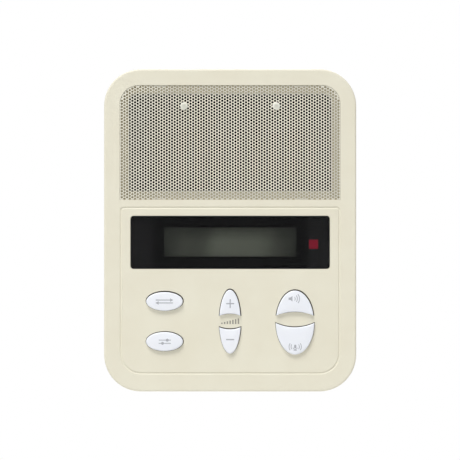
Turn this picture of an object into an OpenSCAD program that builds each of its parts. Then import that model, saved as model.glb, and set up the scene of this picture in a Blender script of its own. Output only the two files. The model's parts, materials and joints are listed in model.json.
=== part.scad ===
// Room intercom station for a flush wall box: moulded panel, perforated speaker grille,
// display window, six keys on a silicone mat, main board and loudspeaker.
// Modules draw the station lying on its back: x right, y up the wall, z towards the user,
// with the wall plane at z = 0. upright() then stands it up with its front facing -Y.

/* [Panel] */
// width of the moulded front panel
panel_width = 165; // [160:1:180]
// height of the moulded front panel
panel_height = 211; // [207:1:226]
// depth from the wall to the front face
panel_depth = 12; // [11:0.5:15]
// radius of the panel's four corners
panel_corner = 24; // [20:1:27]
// radius of the soft front edge
panel_edge = 1.2; // [0.8:0.2:4]
// wall thickness of the moulding
panel_wall = 3; // [2.8:0.1:3.4]
// width of the shallow groove round the key field
groove_width = 1.5; // [1:0.1:2]
// depth of the shallow groove
groove_depth = 0.4; // [0.2:0.05:0.5]

/* [Grille] */
// width of the perforated sheet
grille_width = 144; // [138:1:146]
// height of the perforated sheet
grille_height = 74.6; // [73:0.2:77]
// thickness of the perforated sheet
grille_sheet = 0.8; // [0.6:0.1:1]
// step between neighbouring holes
hole_pitch = 4; // [4:0.25:6]
// diameter of each hole
hole_diameter = 2.2; // [1.6:0.1:2.4]
// distance between the two mounting screws
screw_spacing = 60.3; // [58:0.1:64]

/* [Display] */
// width of the clear window
window_width = 130.3; // [128:0.1:134]
// height of the clear window
window_height = 34.6; // [34:0.1:36]
// width of the visible display
view_width = 86.5; // [80:0.5:87]
// height of the visible display
view_height = 19; // [16:0.5:19.5]
// side of the square indicator
indicator_size = 6; // [4:0.5:6]

/* [Keys] */
// half width of the two oval keys on the left
oval_half_width = 12.45; // [11:0.05:13]
// half height of the two oval keys on the left
oval_half_height = 6.6; // [5.6:0.1:7.5]
// half width of the volume pair
volume_half_width = 7.5; // [7:0.1:9]
// half width of the pair on the right
talk_half_width = 12.95; // [11:0.05:13.5]
// half height of both split pairs
pair_half_height = 21.3; // [20.5:0.1:22]
// height of a key above the panel
key_proud = 1.8; // [1.5:0.1:2.4]
// travel of a key
key_travel = 1.2; // [0.8:0.1:1.3]
// gap between a key and its opening
key_gap = 0.4; // [0.3:0.05:0.5]

/* [Speaker] */
// outer radius of the speaker's flange
flange_radius = 33; // [32:0.1:33.4]
// depth of the magnet
magnet_depth = 8; // [6:0.5:12]
// radius of the magnet
magnet_radius = 22; // [19:0.5:24]
// radius of the voice coil's former
former_radius = 7; // [6.5:0.1:7.4]

/* [Hidden] */
$fn = 64;

// small play between pieces that fit together
fit = 0.15;
// overlap of cutters past a face
past = 1;
face = panel_depth;
inner = face - panel_wall;
half_w = panel_width / 2;
half_h = panel_height / 2;

// room over, between and under the grille, the window and the keys: it stretches with the panel
room_over_grille = 10.75;
room_over_window = 10.75;
room_over_keys = 13.4;
room_under_keys = 24.3;
room = room_over_grille + room_over_window + room_over_keys + room_under_keys;
stretch = (panel_height - grille_height - window_height - 2 * pair_half_height) / room;

// grille and cloth
grille_top = half_h - room_over_grille * stretch;
grille_foot = grille_top - grille_height;
grille_y = grille_top - grille_height / 2;
grille_corner = 12;
grille_recess = 0.6;
grille_front = face - grille_recess;
grille_back = grille_front - grille_sheet;
cloth_width = 132;
cloth_height = 63.4;
cloth_thick = 0.5;
cloth_corner = 4.5;
cloth_back = grille_back - cloth_thick;
lug_width = 8;
lug_reach = 3.4;
lug_x = 46;
slot_play = 0.3;
row_step = hole_pitch * sqrt(3) / 2;
hole_margin = 0.8;

// mounting screws
screw_drop = 13.45;
screw_y = grille_top - screw_drop;
screw_shank = 1.75;
screw_thread = 1.5;
screw_head = 2.45;
screw_head_high = 1.3;
screw_tail = 14;
screw_hole = 2;
post_radius = 4;

// key field groove
field_half = 71.4;
field_rim = 12;
field_top = grille_foot - room_over_window * stretch / 2;
field_foot = field_rim * stretch - half_h;
field_corner = 13;
field_top_corner = 2;
groove_radius = (groove_depth * groove_depth + groove_width * groove_width / 4) / (2 * groove_depth);
groove_z = face + groove_radius - groove_depth;

// window and display, front to back
window_top = grille_foot - room_over_window * stretch;
window_y = window_top - window_height / 2;
window_corner = 2;
window_sink = 0.1;
lens_thick = 1.6;
mask_thick = 0.2;
lens_front = face - window_sink;
lens_back = lens_front - lens_thick;
mask_back = lens_back - mask_thick;
window_ledge = 3.3;
view_rise = 0.2;
view_y = window_y + view_rise;
lcd_gasket_thick = 0.5;
bezel_front = mask_back - lcd_gasket_thick;
bezel_width = 97;
bezel_height = 27;
bezel_deep = 5;
bezel_sheet = 0.6;
lcd_front = bezel_front - bezel_deep;
board_thick = 1.6;
lcd_back = lcd_front - board_thick;
lcd_width = 100;
lcd_height = 40;
lcd_hole_x = 46.5;
lcd_hole_y = 17.2;
lcd_boss = 2.7;
glass_sheet = 1.1;
glass_width = 94.5;
glass_height = 24.6;
rear_glass_height = 19.6;
glass_front = bezel_front - bezel_sheet;

// keys, front to back
key_row = window_top - window_height - room_over_keys * stretch - pair_half_height;
left_lift = 0.5;
left_row = key_row + left_lift;
oval_x = -42.8;
oval_step = 13.2;
volume_x = 0;
talk_x = 42.45;
cap_top = face + key_proud;
crown_high = 0.9;
crown_dome = 0.25;
crown_inset = 1.8;
cap_wall = 1.4;
cap_roof = 0.6;
stem_root = 0.3;
flange_reach = 1;
flange_play = 0.1;
flange_front = inner - flange_play;
flange_thick = 1.2;
flange_back = flange_front - flange_thick;
stem_radius = 2.4;
volume_side = 3.3;
volume_mid = 4.7;
listen_side = 4;
listen_mid = 6.4;
talk_side = 0.1;
talk_mid = 3;
around = 48;

// main board and mat
board_drop = 7;
board_front = inner - board_drop;
board_back = board_front - board_thick;
board_half = 72;
board_play = 6.5;
lcd_to_board = 3.1;
board_top = window_y - lcd_height / 2 - lcd_to_board;
board_foot = panel_wall + board_play - half_h;
board_cut = 6;
arm_left = 50.5;
board_boss = 3.2;
board_hole_x = 66;
board_hole_edge = 7;
board_hole_high = board_top - board_hole_edge;
board_hole_low = board_foot + board_hole_edge;
mat_thick = 1;
mat_front = board_front + mat_thick;
mat_half = 60;
mat_edge = 4;
mat_reach = 25.1;
mat_top = board_top - mat_edge;
mat_foot = key_row - mat_reach;
pill_radius = 2.2;
pill_thick = 0.5;
pill_play = 0.1;
pill_back = board_front + key_travel + pill_play;
dome_ceiling = pill_back + pill_thick;
dome_roof = 1.5;
dome_top = dome_ceiling + dome_roof;
dome_base = 5.2;
dome_neck = 3.4;
dome_wall = 0.7;

// key centres: the stem, dome and pill of each key stand on these
volume_lift = 1.2;
listen_lift = 2;
talk_lift = 0.4;
source_at = [oval_x, left_row + oval_step];
set_at = [oval_x, left_row - oval_step];
volume_up_at = [volume_x, left_row + pair_half_height / 2 + volume_lift];
volume_down_at = [volume_x, left_row - pair_half_height / 2 - volume_lift];
listen_at = [talk_x, key_row + pair_half_height / 2 + listen_lift];
talk_at = [talk_x, key_row - pair_half_height / 2 - talk_lift];
key_spots = [source_at, set_at, volume_up_at, volume_down_at, listen_at, talk_at];

// indicator
indicator_x = 54.6;
indicator_drop = 1.2;
indicator_at = [indicator_x, window_y - indicator_drop];
arm_rise = 13.1;
arm_top = indicator_at[1] + arm_rise;
led_size = 5;
led_high = 2.4;
pipe_foot = 8.4;
pipe_foot_high = 3.4;

// screws
small_screw = 1;
small_head = 2.1;
small_head_high = 1.4;
board_screw = 1.2;
board_screw_head = 2.6;
board_screw_high = 1.8;
screw_tip_play = 0.5;
pilot_play = 0.05;
hole_play = 0.4;

// chips and capacitors, from the middle of the board and the row of keys
controller_at = [-30, key_row + 1.9];
controller_size = [18, 7.5];
controller_legs = 14;
amplifier_at = [28, key_row - 0.1];
amplifier_size = [10.4, 4];
amplifier_legs = 8;
chip_high = 2.2;
chip_lift = 0.15;
leg_wide = 0.4;
leg_step = 1.27;
leg_thick = 0.25;
leg_knee = 0.8;
leg_reach = 1.9;
can_x = [-56, -46, 44];
can_y = key_row - 14.1;
can_high = 11;
can_radius = 4;
can_bead = 0.4;
can_step = 0.6;

// terminal block
pole_count = 8;
pole_step = 5.08;
terminal_edge = 10;
terminal_y = board_foot + terminal_edge;
terminal_deep = 9;
terminal_high = 10;
terminal_entry = 3.2;
terminal_wall = 1.4;
terminal_slope = [2, 3.5];
terminal_floor = 3.4;
terminal_off = 0.6;
terminal_well = 1.9;
terminal_well_deep = 4.4;
terminal_screw = 1.75;
terminal_screw_drop = 1.2;

// headers and ribbon
ribbon_half = 10;
ribbon_thick = 0.3;
ribbon_path = [[-14.1, -0.15], [-18.1, -0.15], [-20.1, -0.6], [-21.3, -1.6], [-22, -2.9], [-22.9, -4],
    [-24.5, -4.5], [-30.5, -4.5]];
ribbon_level = ribbon_path[len(ribbon_path) - 1][1];
ribbon_header_edge = 5;
ribbon_header_y = board_top - ribbon_header_edge;
ribbon_header_deep = 5;
ribbon_header_high = 3.6;
header_edge = 15;
header_at = [60, board_top - header_edge];
header_width = 8;
header_deep = 8;
header_high = 6;
lead_gap = 2.6;

// speaker, front to back
gasket_thick = 1.5;
frame_front = inner - gasket_thick;
frame_sheet = 0.8;
ear_radius = 3.6;
ear_at = 37;
ear_arm = 6.4;
speaker_boss = 3;
baffle_radius = 29;
gasket_inner = 28.4;
surround_edge = 27.2;
cone_edge = 23.4;
cone_lip = 0.8;
paper = 0.4;
former_wall = 0.2;
neck = former_radius + former_wall;
neck_drop = 9;
shelf_drop = 10.1;
shelf_in = 19.6;
shelf_out = 23.2;
frame_deep = 14.8;
frame_back = frame_front - frame_deep;
coil_gap = 0.45;
coil_wound = 0.35;
pole_radius = former_radius - 0.4;
plate_bore = neck + coil_wound + coil_gap;
plate_thick = 3;
plate_radius = 20;
plate_back = frame_back - plate_thick;
magnet_back = plate_back - magnet_depth;
magnet_bore = 11;
vent_radius = 2;
cap_rim = 9.2;
cap_high = 3;
tag_length = 9.6;
tag_half = 6;
tag_thick = 1.2;
tag_gap = 7;
tag_front = frame_front - shelf_drop - frame_sheet;
shelf_z = frame_front - shelf_drop;

// leads: round numbers, from the header up behind the board's arm to the speaker's tags,
// set out for an inner face at lead_datum and moved with it
lead_radius = 0.7;
lead_sides = 8;
lead_datum = 9;
lead_lift = inner - lead_datum;
lead_from = -42;
lead_to = 57.55;
lead_start_move = header_at[1] + header_deep / 2 - lead_from;
lead_end_move = grille_y - lead_to;
function follow(path) = [for (p = path) let (t = (p[1] - lead_from) / (lead_to - lead_from))
    [p[0], p[1] + lead_start_move * (1 - t) + lead_end_move * t, p[2]]];
red_path = [[61.3, -42, -2.6], [61.3, -36, -2.6], [61, -20, -2.8], [60.6, 0, -3], [59, 16, -3.4],
    [55, 32, -4], [49, 46, -4.6], [42, 55, -5.3], [37, 59, -5.7], [34, 60.5, -5.7], [31, 61.05, -5.7]];
black_path = [[58.7, -42, -2.6], [58.7, -36, -2.6], [58.6, -20, -2.8], [58, 0, -3], [56, 16, -3.4],
    [52, 30, -4], [46, 42, -4.6], [41, 48.6, -5.3], [37, 52, -5.7], [34, 53.5, -5.7], [31, 54.05, -5.7]];

// helpers

module upright() rotate([90, 0, 0]) children();

module slab(from, to) translate([0, 0, from]) linear_extrude(to - from) children();

module rod(at, radius, from, to) translate([at[0], at[1], from]) cylinder(r = radius, h = to - from);

module turned(at) translate([at[0], at[1], 0]) rotate_extrude() children();

module round_box(width, height, radius) {
    square([width - 2 * radius, height], center = true);
    square([width, height - 2 * radius], center = true);
    for (x = [-1, 1])
        for (y = [-1, 1])
            translate([x * (width / 2 - radius), y * (height / 2 - radius)]) circle(radius);
}

// outline with round top corners and square lower ones
module arch_box(width, height, radius) {
    translate([-width / 2, -height / 2]) square([width, height - radius]);
    translate([-width / 2 + radius, -height / 2]) square([width - 2 * radius, height]);
    for (x = [-1, 1])
        translate([x * (width / 2 - radius), height / 2 - radius]) circle(radius);
}

function oval(a, b, inset) =
    [for (i = [0 : around - 1]) [(a - inset) * cos(360 * i / around), (b - inset) * sin(360 * i / around)]];

// upper half of a split oval, with an arched lower edge
function half_oval(a, b, side, mid, inset) =
    let (A = a - inset, B = b - inset, s = side + inset, m = mid + inset, start = asin(s / B),
        reach = A * cos(start), arc = around * 2 / 3, base = around / 3)
    concat(
        [for (i = [0 : arc]) let (t = start + (180 - 2 * start) * i / arc) [A * cos(t), B * sin(t)]],
        [for (i = [1 : base - 1]) let (u = 2 * i / base - 1) [reach * u, s + (m - s) * (1 - u * u)]]);

function key_outline(kind, inset) =
    kind == "oval" ? oval(oval_half_width, oval_half_height, inset) :
    kind == "volume" ? half_oval(volume_half_width, pair_half_height, volume_side, volume_mid, inset) :
    kind == "listen" ? half_oval(talk_half_width, pair_half_height, listen_side, listen_mid, inset) :
    half_oval(talk_half_width, pair_half_height, talk_side, talk_mid, inset);

// closed skin over a stack of outlines of equal length, fanned from a point at the foot and one on top
module loft(outlines, heights, foot, peak) {
    n = len(outlines[0]);
    last = len(outlines) - 1;
    low = (last + 1) * n;
    points = concat(
        [for (k = [0 : last]) for (p = outlines[k]) [p[0], p[1], heights[k]]], [foot, peak]);
    under = [for (i = [0 : n - 1]) [low, i, (i + 1) % n]];
    sides = [for (k = [0 : last - 1]) for (i = [0 : n - 1])
        [(k + 1) * n + i, (k + 1) * n + (i + 1) % n, k * n + (i + 1) % n, k * n + i]];
    top = [for (i = [0 : n - 1]) [low + 1, last * n + (i + 1) % n, last * n + i]];
    polyhedron(points = points, faces = concat(under, sides, top));
}

// round tube along a list of points
function unit(v) = v / norm(v);

function run_of(path, i) =
    unit(path[min(i + 1, len(path) - 1)] - path[max(i - 1, 0)]);

module tube(path, radius, sides) {
    last = len(path) - 1;
    points = [for (i = [0 : last]) let (d = run_of(path, i), u = unit(cross(d, [0, 0, 1])), v = cross(u, d))
        for (k = [0 : sides - 1]) path[i] + radius * (cos(360 * k / sides) * u + sin(360 * k / sides) * v)];
    walls = [for (i = [0 : last - 1]) for (k = [0 : sides - 1])
        [(i + 1) * sides + k, (i + 1) * sides + (k + 1) % sides, i * sides + (k + 1) % sides, i * sides + k]];
    ends = [[for (k = [0 : sides - 1]) k], [for (k = [0 : sides - 1]) (last + 1) * sides - 1 - k]];
    polyhedron(points = points, faces = concat(walls, ends));
}

// flat band along a list of points
function side_of(path, i) = let (d = run_of(path, i)) [-d[1], d[0]];

function band(path, thick) = concat(
    [for (i = [0 : len(path) - 1]) path[i] + side_of(path, i) * thick / 2],
    [for (i = [len(path) - 1 : -1 : 0]) path[i] - side_of(path, i) * thick / 2]);

// panel

module edge_profile(reach) {
    square([reach, panel_depth - panel_edge]);
    square([reach - panel_edge, panel_depth]);
    translate([reach - panel_edge, panel_depth - panel_edge]) circle(panel_edge);
}

module soft_slab() {
    run_x = panel_width - 2 * panel_corner;
    run_y = panel_height - 2 * panel_corner;
    translate([-run_x / 2, -run_y / 2, 0]) cube([run_x, run_y, panel_depth]);
    for (turn = [0, 180])
        rotate([0, 0, turn]) {
            translate([run_x / 2, run_y / 2, 0])
                rotate([90, 0, 0]) linear_extrude(run_y) edge_profile(panel_corner);
            translate([run_x / 2, run_y / 2, 0]) rotate_extrude(angle = 90) edge_profile(panel_corner);
            rotate([0, 0, 90]) translate([run_y / 2, run_x / 2, 0]) {
                rotate([90, 0, 0]) linear_extrude(run_x) edge_profile(panel_corner);
                rotate_extrude(angle = 90) edge_profile(panel_corner);
            }
        }
}

module groove_bar(from, to) {
    step = to - from;
    translate([from[0], from[1], groove_z])
        rotate([0, 90, atan2(step[1], step[0])]) cylinder(r = groove_radius, h = norm(step));
}

module groove_bend(at, radius, turn) {
    translate([at[0], at[1], groove_z]) rotate([0, 0, turn])
        rotate_extrude(angle = 90) translate([radius, 0]) circle(groove_radius);
}

module groove_path() {
    low = field_foot + field_corner;
    high = field_top - field_top_corner;
    wide = field_half - field_corner;
    top_wide = field_half - field_top_corner;
    groove_bar([-wide, field_foot], [wide, field_foot]);
    groove_bar([-top_wide, field_top], [top_wide, field_top]);
    groove_bar([field_half, low], [field_half, high]);
    groove_bar([-field_half, low], [-field_half, high]);
    groove_bend([wide, low], field_corner, 270);
    groove_bend([-wide, low], field_corner, 180);
    groove_bend([top_wide, high], field_top_corner, 0);
    groove_bend([-top_wide, high], field_top_corner, 90);
}

module key_place(kind, at) {
    if (kind == "oval") translate([at[0], at[1], 0]) children();
    if (kind == "volume_up") translate([volume_x, left_row, 0]) children();
    if (kind == "volume_down") translate([volume_x, left_row, 0]) mirror([0, 1, 0]) children();
    if (kind == "listen") translate([talk_x, key_row, 0]) children();
    if (kind == "talk") translate([talk_x, key_row, 0]) mirror([0, 1, 0]) children();
}

module key_opening(kind, outline, at) {
    key_place(kind, at) slab(inner - past, face + past) polygon(key_outline(outline, 0));
}

module panel_bosses() {
    for (x = [-1, 1]) {
        rod([x * screw_spacing / 2, screw_y], post_radius, 0, inner + past / 2);
        for (y = [board_hole_high, board_hole_low])
            rod([x * board_hole_x, y], board_boss, board_front, inner + past / 2);
        for (y = [-1, 1])
            rod([x * lcd_hole_x, window_y + y * lcd_hole_y], lcd_boss, lcd_front, inner + past / 2);
    }
    for (turn = [0 : 90 : 270])
        rod([ear_at * cos(turn), grille_y + ear_at * sin(turn)], speaker_boss, frame_front, inner + past / 2);
}

// stiffening ribs on the inside of the front wall
module panel_ribs() {
    rib = 1.5;
    reach = half_w - panel_wall + past / 2;
    rise = half_h - panel_wall + past / 2;
    tall = 5;
    translate([-reach, field_top - rib / 2, inner - tall]) cube([2 * reach, rib, tall + past / 2]);
    for (x = [-1, 1]) {
        translate([x * screw_spacing / 2 - rib / 2, screw_y + post_radius - 0.5, inner - tall])
            cube([rib, rise - screw_y - post_radius + 0.5, tall + past / 2]);
        translate([x > 0 ? screw_spacing / 2 + post_radius - 0.5 : -reach, screw_y - rib / 2, inner - tall])
            cube([reach - screw_spacing / 2 - post_radius + 0.5, rib, tall + past / 2]);
    }
}

module lug_slots() {
    wide = lug_width + 2 * slot_play;
    thick = grille_sheet + 2 * slot_play;
    for (x = [-lug_x, lug_x]) {
        translate([x - wide / 2, grille_top - grille_sheet - slot_play, inner - past])
            cube([wide, thick, panel_wall]);
        translate([x - wide / 2, grille_foot - slot_play, inner - past])
            cube([wide, thick, panel_wall]);
    }
    for (x = [-1, 1])
        translate([x * (grille_width / 2 - grille_sheet / 2) - thick / 2, grille_y - wide / 2, inner - past])
            cube([thick, wide, panel_wall]);
}

module front_panel() {
    upright() color("Ivory")
    difference() {
        union() {
            difference() {
                soft_slab();
                slab(-past, inner) round_box(panel_width - 2 * panel_wall, panel_height - 2 * panel_wall,
                    panel_corner - panel_wall);
            }
            panel_bosses();
            panel_ribs();
        }
        translate([0, grille_y, 0]) {
            slab(grille_back, face + past)
                arch_box(grille_width + 2 * fit, grille_height + 2 * fit, grille_corner + fit);
            slab(cloth_back, face) arch_box(cloth_width + 2 * fit, cloth_height + 2 * fit, cloth_corner);
            slab(frame_front - past, face) circle(baffle_radius);
        }
        lug_slots();
        translate([0, window_y, 0]) {
            slab(mask_back, face + past)
                round_box(window_width + 2 * fit, window_height + 2 * fit, window_corner + fit);
            slab(inner - past, face)
                round_box(window_width - 2 * window_ledge, window_height - 2 * window_ledge, window_corner);
        }
        key_opening("oval", "oval", source_at);
        key_opening("oval", "oval", set_at);
        key_opening("volume_up", "volume", volume_up_at);
        key_opening("volume_down", "volume", volume_down_at);
        key_opening("listen", "listen", listen_at);
        key_opening("talk", "talk", talk_at);
        groove_path();
        for (x = [-1, 1]) {
            rod([x * screw_spacing / 2, screw_y], screw_hole, -past, face);
            for (y = [board_hole_high, board_hole_low])
                rod([x * board_hole_x, y], board_screw + pilot_play, board_front - past, inner);
            for (y = [-1, 1])
                rod([x * lcd_hole_x, window_y + y * lcd_hole_y], small_screw + pilot_play,
                    lcd_front - past, inner);
        }
        for (turn = [0 : 90 : 270])
            rod([ear_at * cos(turn), grille_y + ear_at * sin(turn)], small_screw + pilot_play,
                frame_front - past, inner + 0.6);
    }
}

// grille

function in_field(x, y, margin) =
    let (w = grille_width / 2 - margin, h = grille_height / 2 - margin, r = grille_corner - margin)
    abs(x) <= w && abs(y) <= h &&
    (abs(x) <= w - r || y <= h - r || norm([abs(x) - (w - r), y - (h - r)]) <= r);

function off_screws(x, y) =
    min([for (s = [-1, 1]) norm([x - s * screw_spacing / 2, y + grille_y - screw_y])])
    > screw_hole + hole_diameter / 2 + hole_margin / 2;

module perforations() {
    columns = floor(grille_width / 2 / row_step);
    rows = ceil(grille_height / 2 / hole_pitch);
    edge = hole_diameter / 2 + hole_margin;
    for (i = [-columns : columns])
        for (j = [-rows : rows]) {
            x = i * row_step;
            y = (j + (i % 2 == 0 ? 0 : 0.5)) * hole_pitch;
            if (in_field(x, y, edge) && off_screws(x, y)) translate([x, y]) circle(hole_diameter / 2);
        }
}

// lug bent back through the panel and clenched behind it
module lug(turn, out) {
    foot = inner - fit;
    rotate([0, 0, turn]) translate([out - grille_sheet, -lug_width / 2, 0]) {
        translate([0, 0, foot - grille_sheet])
            cube([grille_sheet, lug_width, grille_front - foot + grille_sheet]);
        translate([-lug_reach + grille_sheet, 0, foot - grille_sheet])
            cube([lug_reach, lug_width, grille_sheet]);
    }
}

module speaker_grille() {
    upright() color("Wheat") translate([0, grille_y, 0]) {
        slab(grille_back, grille_front) difference() {
            arch_box(grille_width, grille_height, grille_corner);
            perforations();
            for (x = [-1, 1])
                translate([x * screw_spacing / 2, screw_y - grille_y]) circle(screw_hole);
        }
        for (x = [-1, 1]) {
            translate([x * lug_x, 0, 0]) lug(90, grille_height / 2);
            translate([x * lug_x, 0, 0]) lug(270, grille_height / 2);
        }
        lug(0, grille_width / 2);
        lug(180, grille_width / 2);
    }
}

module grille_cloth() {
    upright() color("Black") translate([0, grille_y, 0]) slab(cloth_back, grille_back) difference() {
        arch_box(cloth_width, cloth_height, cloth_corner);
        for (x = [-1, 1])
            translate([x * screw_spacing / 2, screw_y - grille_y]) circle(screw_hole);
    }
}

module mounting_screws() {
    slot_wide = 0.7;
    slot_long = 3;
    upright() color("Linen") for (x = [-1, 1])
        difference() {
            turned([x * screw_spacing / 2, screw_y]) polygon(concat(
                [[0, -screw_tail], [screw_thread, 1.5 - screw_tail], [screw_thread, 0], [screw_shank, 0],
                    [screw_shank, grille_front], [screw_head, grille_front],
                    [screw_head, grille_front + 0.3]],
                [for (t = [15 : 15 : 90])
                    [screw_head * cos(t), grille_front + 0.3 + (screw_head_high - 0.3) * sin(t)]]));
            for (turn = [0, 90])
                translate([x * screw_spacing / 2, screw_y, grille_front + screw_head_high])
                    rotate([0, 0, turn]) cube([slot_long, slot_wide, 1.2], center = true);
        }
}

// window and display

module display_lens() {
    upright() color("Gray", 0.4) translate([0, window_y, 0])
        slab(lens_back, lens_front) round_box(window_width, window_height, window_corner);
}

module window_mask() {
    upright() color("Black") slab(mask_back, lens_back) difference() {
        translate([0, window_y]) round_box(window_width, window_height, window_corner);
        translate([0, view_y]) square([view_width, view_height], center = true);
        translate(indicator_at) square(indicator_size, center = true);
    }
}

module display_gasket() {
    upright() color("DimGray") translate([0, view_y, 0]) slab(bezel_front, mask_back) difference() {
        square([bezel_width - 1, bezel_height - 1], center = true);
        square([view_width + 1.4, view_height + 1.2], center = true);
    }
}

module lcd_bezel() {
    tab_wide = 3;
    tab_drop = 0.8;
    upright() color("Silver") translate([0, view_y, 0]) difference() {
        union() {
            slab(lcd_front, bezel_front) round_box(bezel_width, bezel_height, 0.8);
            for (x = [-1, 0, 1])
                for (y = [-1, 1])
                    translate([x * bezel_width / 3 - tab_wide / 2, y * (bezel_height / 2 - bezel_sheet / 2)
                        - bezel_sheet / 2, lcd_back - tab_drop])
                        cube([tab_wide, bezel_sheet, board_thick + tab_drop + past]);
        }
        slab(lcd_front - past, glass_front)
            square([bezel_width - 2 * bezel_sheet, bezel_height - 2 * bezel_sheet], center = true);
        slab(glass_front - past, bezel_front + past)
            square([view_width + 2, view_height + 1.6], center = true);
    }
}

module lcd_glass() {
    upright() color("DarkSeaGreen") translate([0, view_y, 0]) {
        slab(glass_front - glass_sheet, glass_front) square([glass_width, glass_height], center = true);
        slab(glass_front - 2 * glass_sheet, glass_front - glass_sheet)
            square([glass_width, rear_glass_height], center = true);
    }
}

module contact_strips() {
    upright() color("HotPink") for (y = [-1, 1])
        translate([0, view_y + y * (rear_glass_height / 2 + glass_height / 2) / 2, 0])
            slab(lcd_front, glass_front - glass_sheet) square([glass_width - 3, 1.8], center = true);
}

module lcd_backlight() {
    upright() color("White") translate([0, view_y, 0]) slab(lcd_front, glass_front - 2 * glass_sheet)
        square([glass_width - 2, rear_glass_height - 0.4], center = true);
}

module lcd_board() {
    slot_wide = 3.4;
    upright() color("DarkGreen") slab(lcd_back, lcd_front) difference() {
        translate([0, window_y]) square([lcd_width, lcd_height], center = true);
        for (x = [-1, 1])
            for (y = [-1, 1])
                translate([x * lcd_hole_x, window_y + y * lcd_hole_y]) circle(small_screw + hole_play);
        for (x = [-1, 0, 1])
            for (y = [-1, 1])
                translate([x * bezel_width / 3, view_y + y * (bezel_height / 2 - bezel_sheet / 2)])
                    square([slot_wide, bezel_sheet + 0.4], center = true);
    }
}

// pan head screw with its head at the back
module pan_screw(at, radius, head, high, seat, tip) {
    turned(at) polygon([[0, seat - high], [head * 0.6, seat - high], [head * 0.9, seat - high * 0.75],
        [head, seat - high * 0.4], [head, seat], [radius, seat], [radius, tip - radius], [0, tip]]);
}

module lcd_screws() {
    upright() color("Silver") for (x = [-1, 1])
        for (y = [-1, 1])
            pan_screw([x * lcd_hole_x, window_y + y * lcd_hole_y], small_screw, small_head, small_head_high,
                lcd_back, inner - screw_tip_play);
}

module display_ribbon() {
    upright() color("Gainsboro") translate([-ribbon_half, window_y, lcd_back])
        rotate([90, 0, 90]) linear_extrude(2 * ribbon_half) polygon(band(ribbon_path, ribbon_thick));
}

module indicator_pipe() {
    upright() color("DarkRed") translate([indicator_at[0], indicator_at[1], 0]) difference() {
        union() {
            slab(board_front + led_high, lens_back) square(indicator_size - fit, center = true);
            slab(board_front, board_front + pipe_foot_high) square([pipe_foot, pipe_foot], center = true);
        }
        slab(board_front - past, board_front + led_high) square(led_size + 2 * fit, center = true);
    }
}

module indicator_led() {
    bowl = 1.9;
    upright() color("White") translate([indicator_at[0], indicator_at[1], 0]) difference() {
        slab(board_front, board_front + led_high) square(led_size, center = true);
        rod([0, 0], bowl, board_front + led_high - 0.8, board_front + led_high + past);
    }
}

// keys

module cap_body(outline, stem) {
    insets = [0, 0, 0.07, 0.22, 0.5, 1];
    drops = [0, 1, 0.55, 0.2, 0.05, 0];
    roof = cap_top - crown_high - cap_roof;
    buried = flange_back + flange_thick / 2;
    difference() {
        union() {
            loft([for (d = insets) key_outline(outline, key_gap + crown_inset * d)],
                [for (k = [0 : len(drops) - 1])
                    k == 0 ? buried : cap_top - crown_high * drops[k]],
                [stem[0], stem[1], buried], [stem[0], stem[1], cap_top + crown_dome]);
            slab(flange_back, flange_front) polygon(key_outline(outline, -flange_reach));
        }
        slab(flange_back - past, roof) polygon(key_outline(outline, cap_wall + key_gap));
    }
    rod(stem, stem_radius, dome_top, roof + stem_root);
}

module source_button() {
    upright() color("White") key_place("oval", source_at) cap_body("oval", [0, 0]);
}

module set_button() {
    upright() color("White") key_place("oval", set_at) cap_body("oval", [0, 0]);
}

module volume_up_button() {
    upright() color("White") key_place("volume_up", volume_up_at)
        cap_body("volume", [0, volume_up_at[1] - left_row]);
}

module volume_down_button() {
    upright() color("White") key_place("volume_down", volume_down_at)
        cap_body("volume", [0, left_row - volume_down_at[1]]);
}

module listen_button() {
    upright() color("White") key_place("listen", listen_at) cap_body("listen", [0, listen_at[1] - key_row]);
}

module talk_button() {
    upright() color("White") key_place("talk", talk_at) cap_body("talk", [0, key_row - talk_at[1]]);
}

module keypad_mat() {
    upright() color("LightGray") difference() {
        union() {
            translate([-mat_half, mat_foot, board_front])
                cube([2 * mat_half, mat_top - mat_foot, mat_thick]);
            for (at = key_spots) {
                translate([at[0], at[1], mat_front])
                    cylinder(r1 = dome_base, r2 = dome_neck, h = dome_ceiling - mat_front + dome_wall);
                rod(at, stem_radius + 0.4, dome_ceiling, dome_top);
            }
        }
        for (at = key_spots)
            translate([at[0], at[1], board_front - 0.001])
                cylinder(r1 = dome_base - dome_wall, r2 = dome_neck - dome_wall,
                    h = dome_ceiling - board_front + 0.001);
    }
}

module pill(at) {
    upright() color("Black") rod(at, pill_radius, pill_back, dome_ceiling);
}

module source_pill() pill(source_at);

module set_pill() pill(set_at);

module volume_up_pill() pill(volume_up_at);

module volume_down_pill() pill(volume_down_at);

module listen_pill() pill(listen_at);

module talk_pill() pill(talk_at);

// electronics

module main_board() {
    upright() color("DarkGreen") slab(board_back, board_front) difference() {
        polygon([[-board_half, board_top], [arm_left, board_top], [arm_left, arm_top], [board_half, arm_top],
            [board_half, board_foot + board_cut], [board_half - board_cut, board_foot],
            [board_cut - board_half, board_foot], [-board_half, board_foot + board_cut]]);
        for (x = [-1, 1])
            for (y = [board_hole_high, board_hole_low])
                translate([x * board_hole_x, y]) circle(board_screw + hole_play);
    }
}

module board_screws() {
    upright() color("Silver") for (x = [-1, 1])
        for (y = [board_hole_high, board_hole_low])
            pan_screw([x * board_hole_x, y], board_screw, board_screw_head, board_screw_high, board_back,
                inner - screw_tip_play);
}

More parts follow.
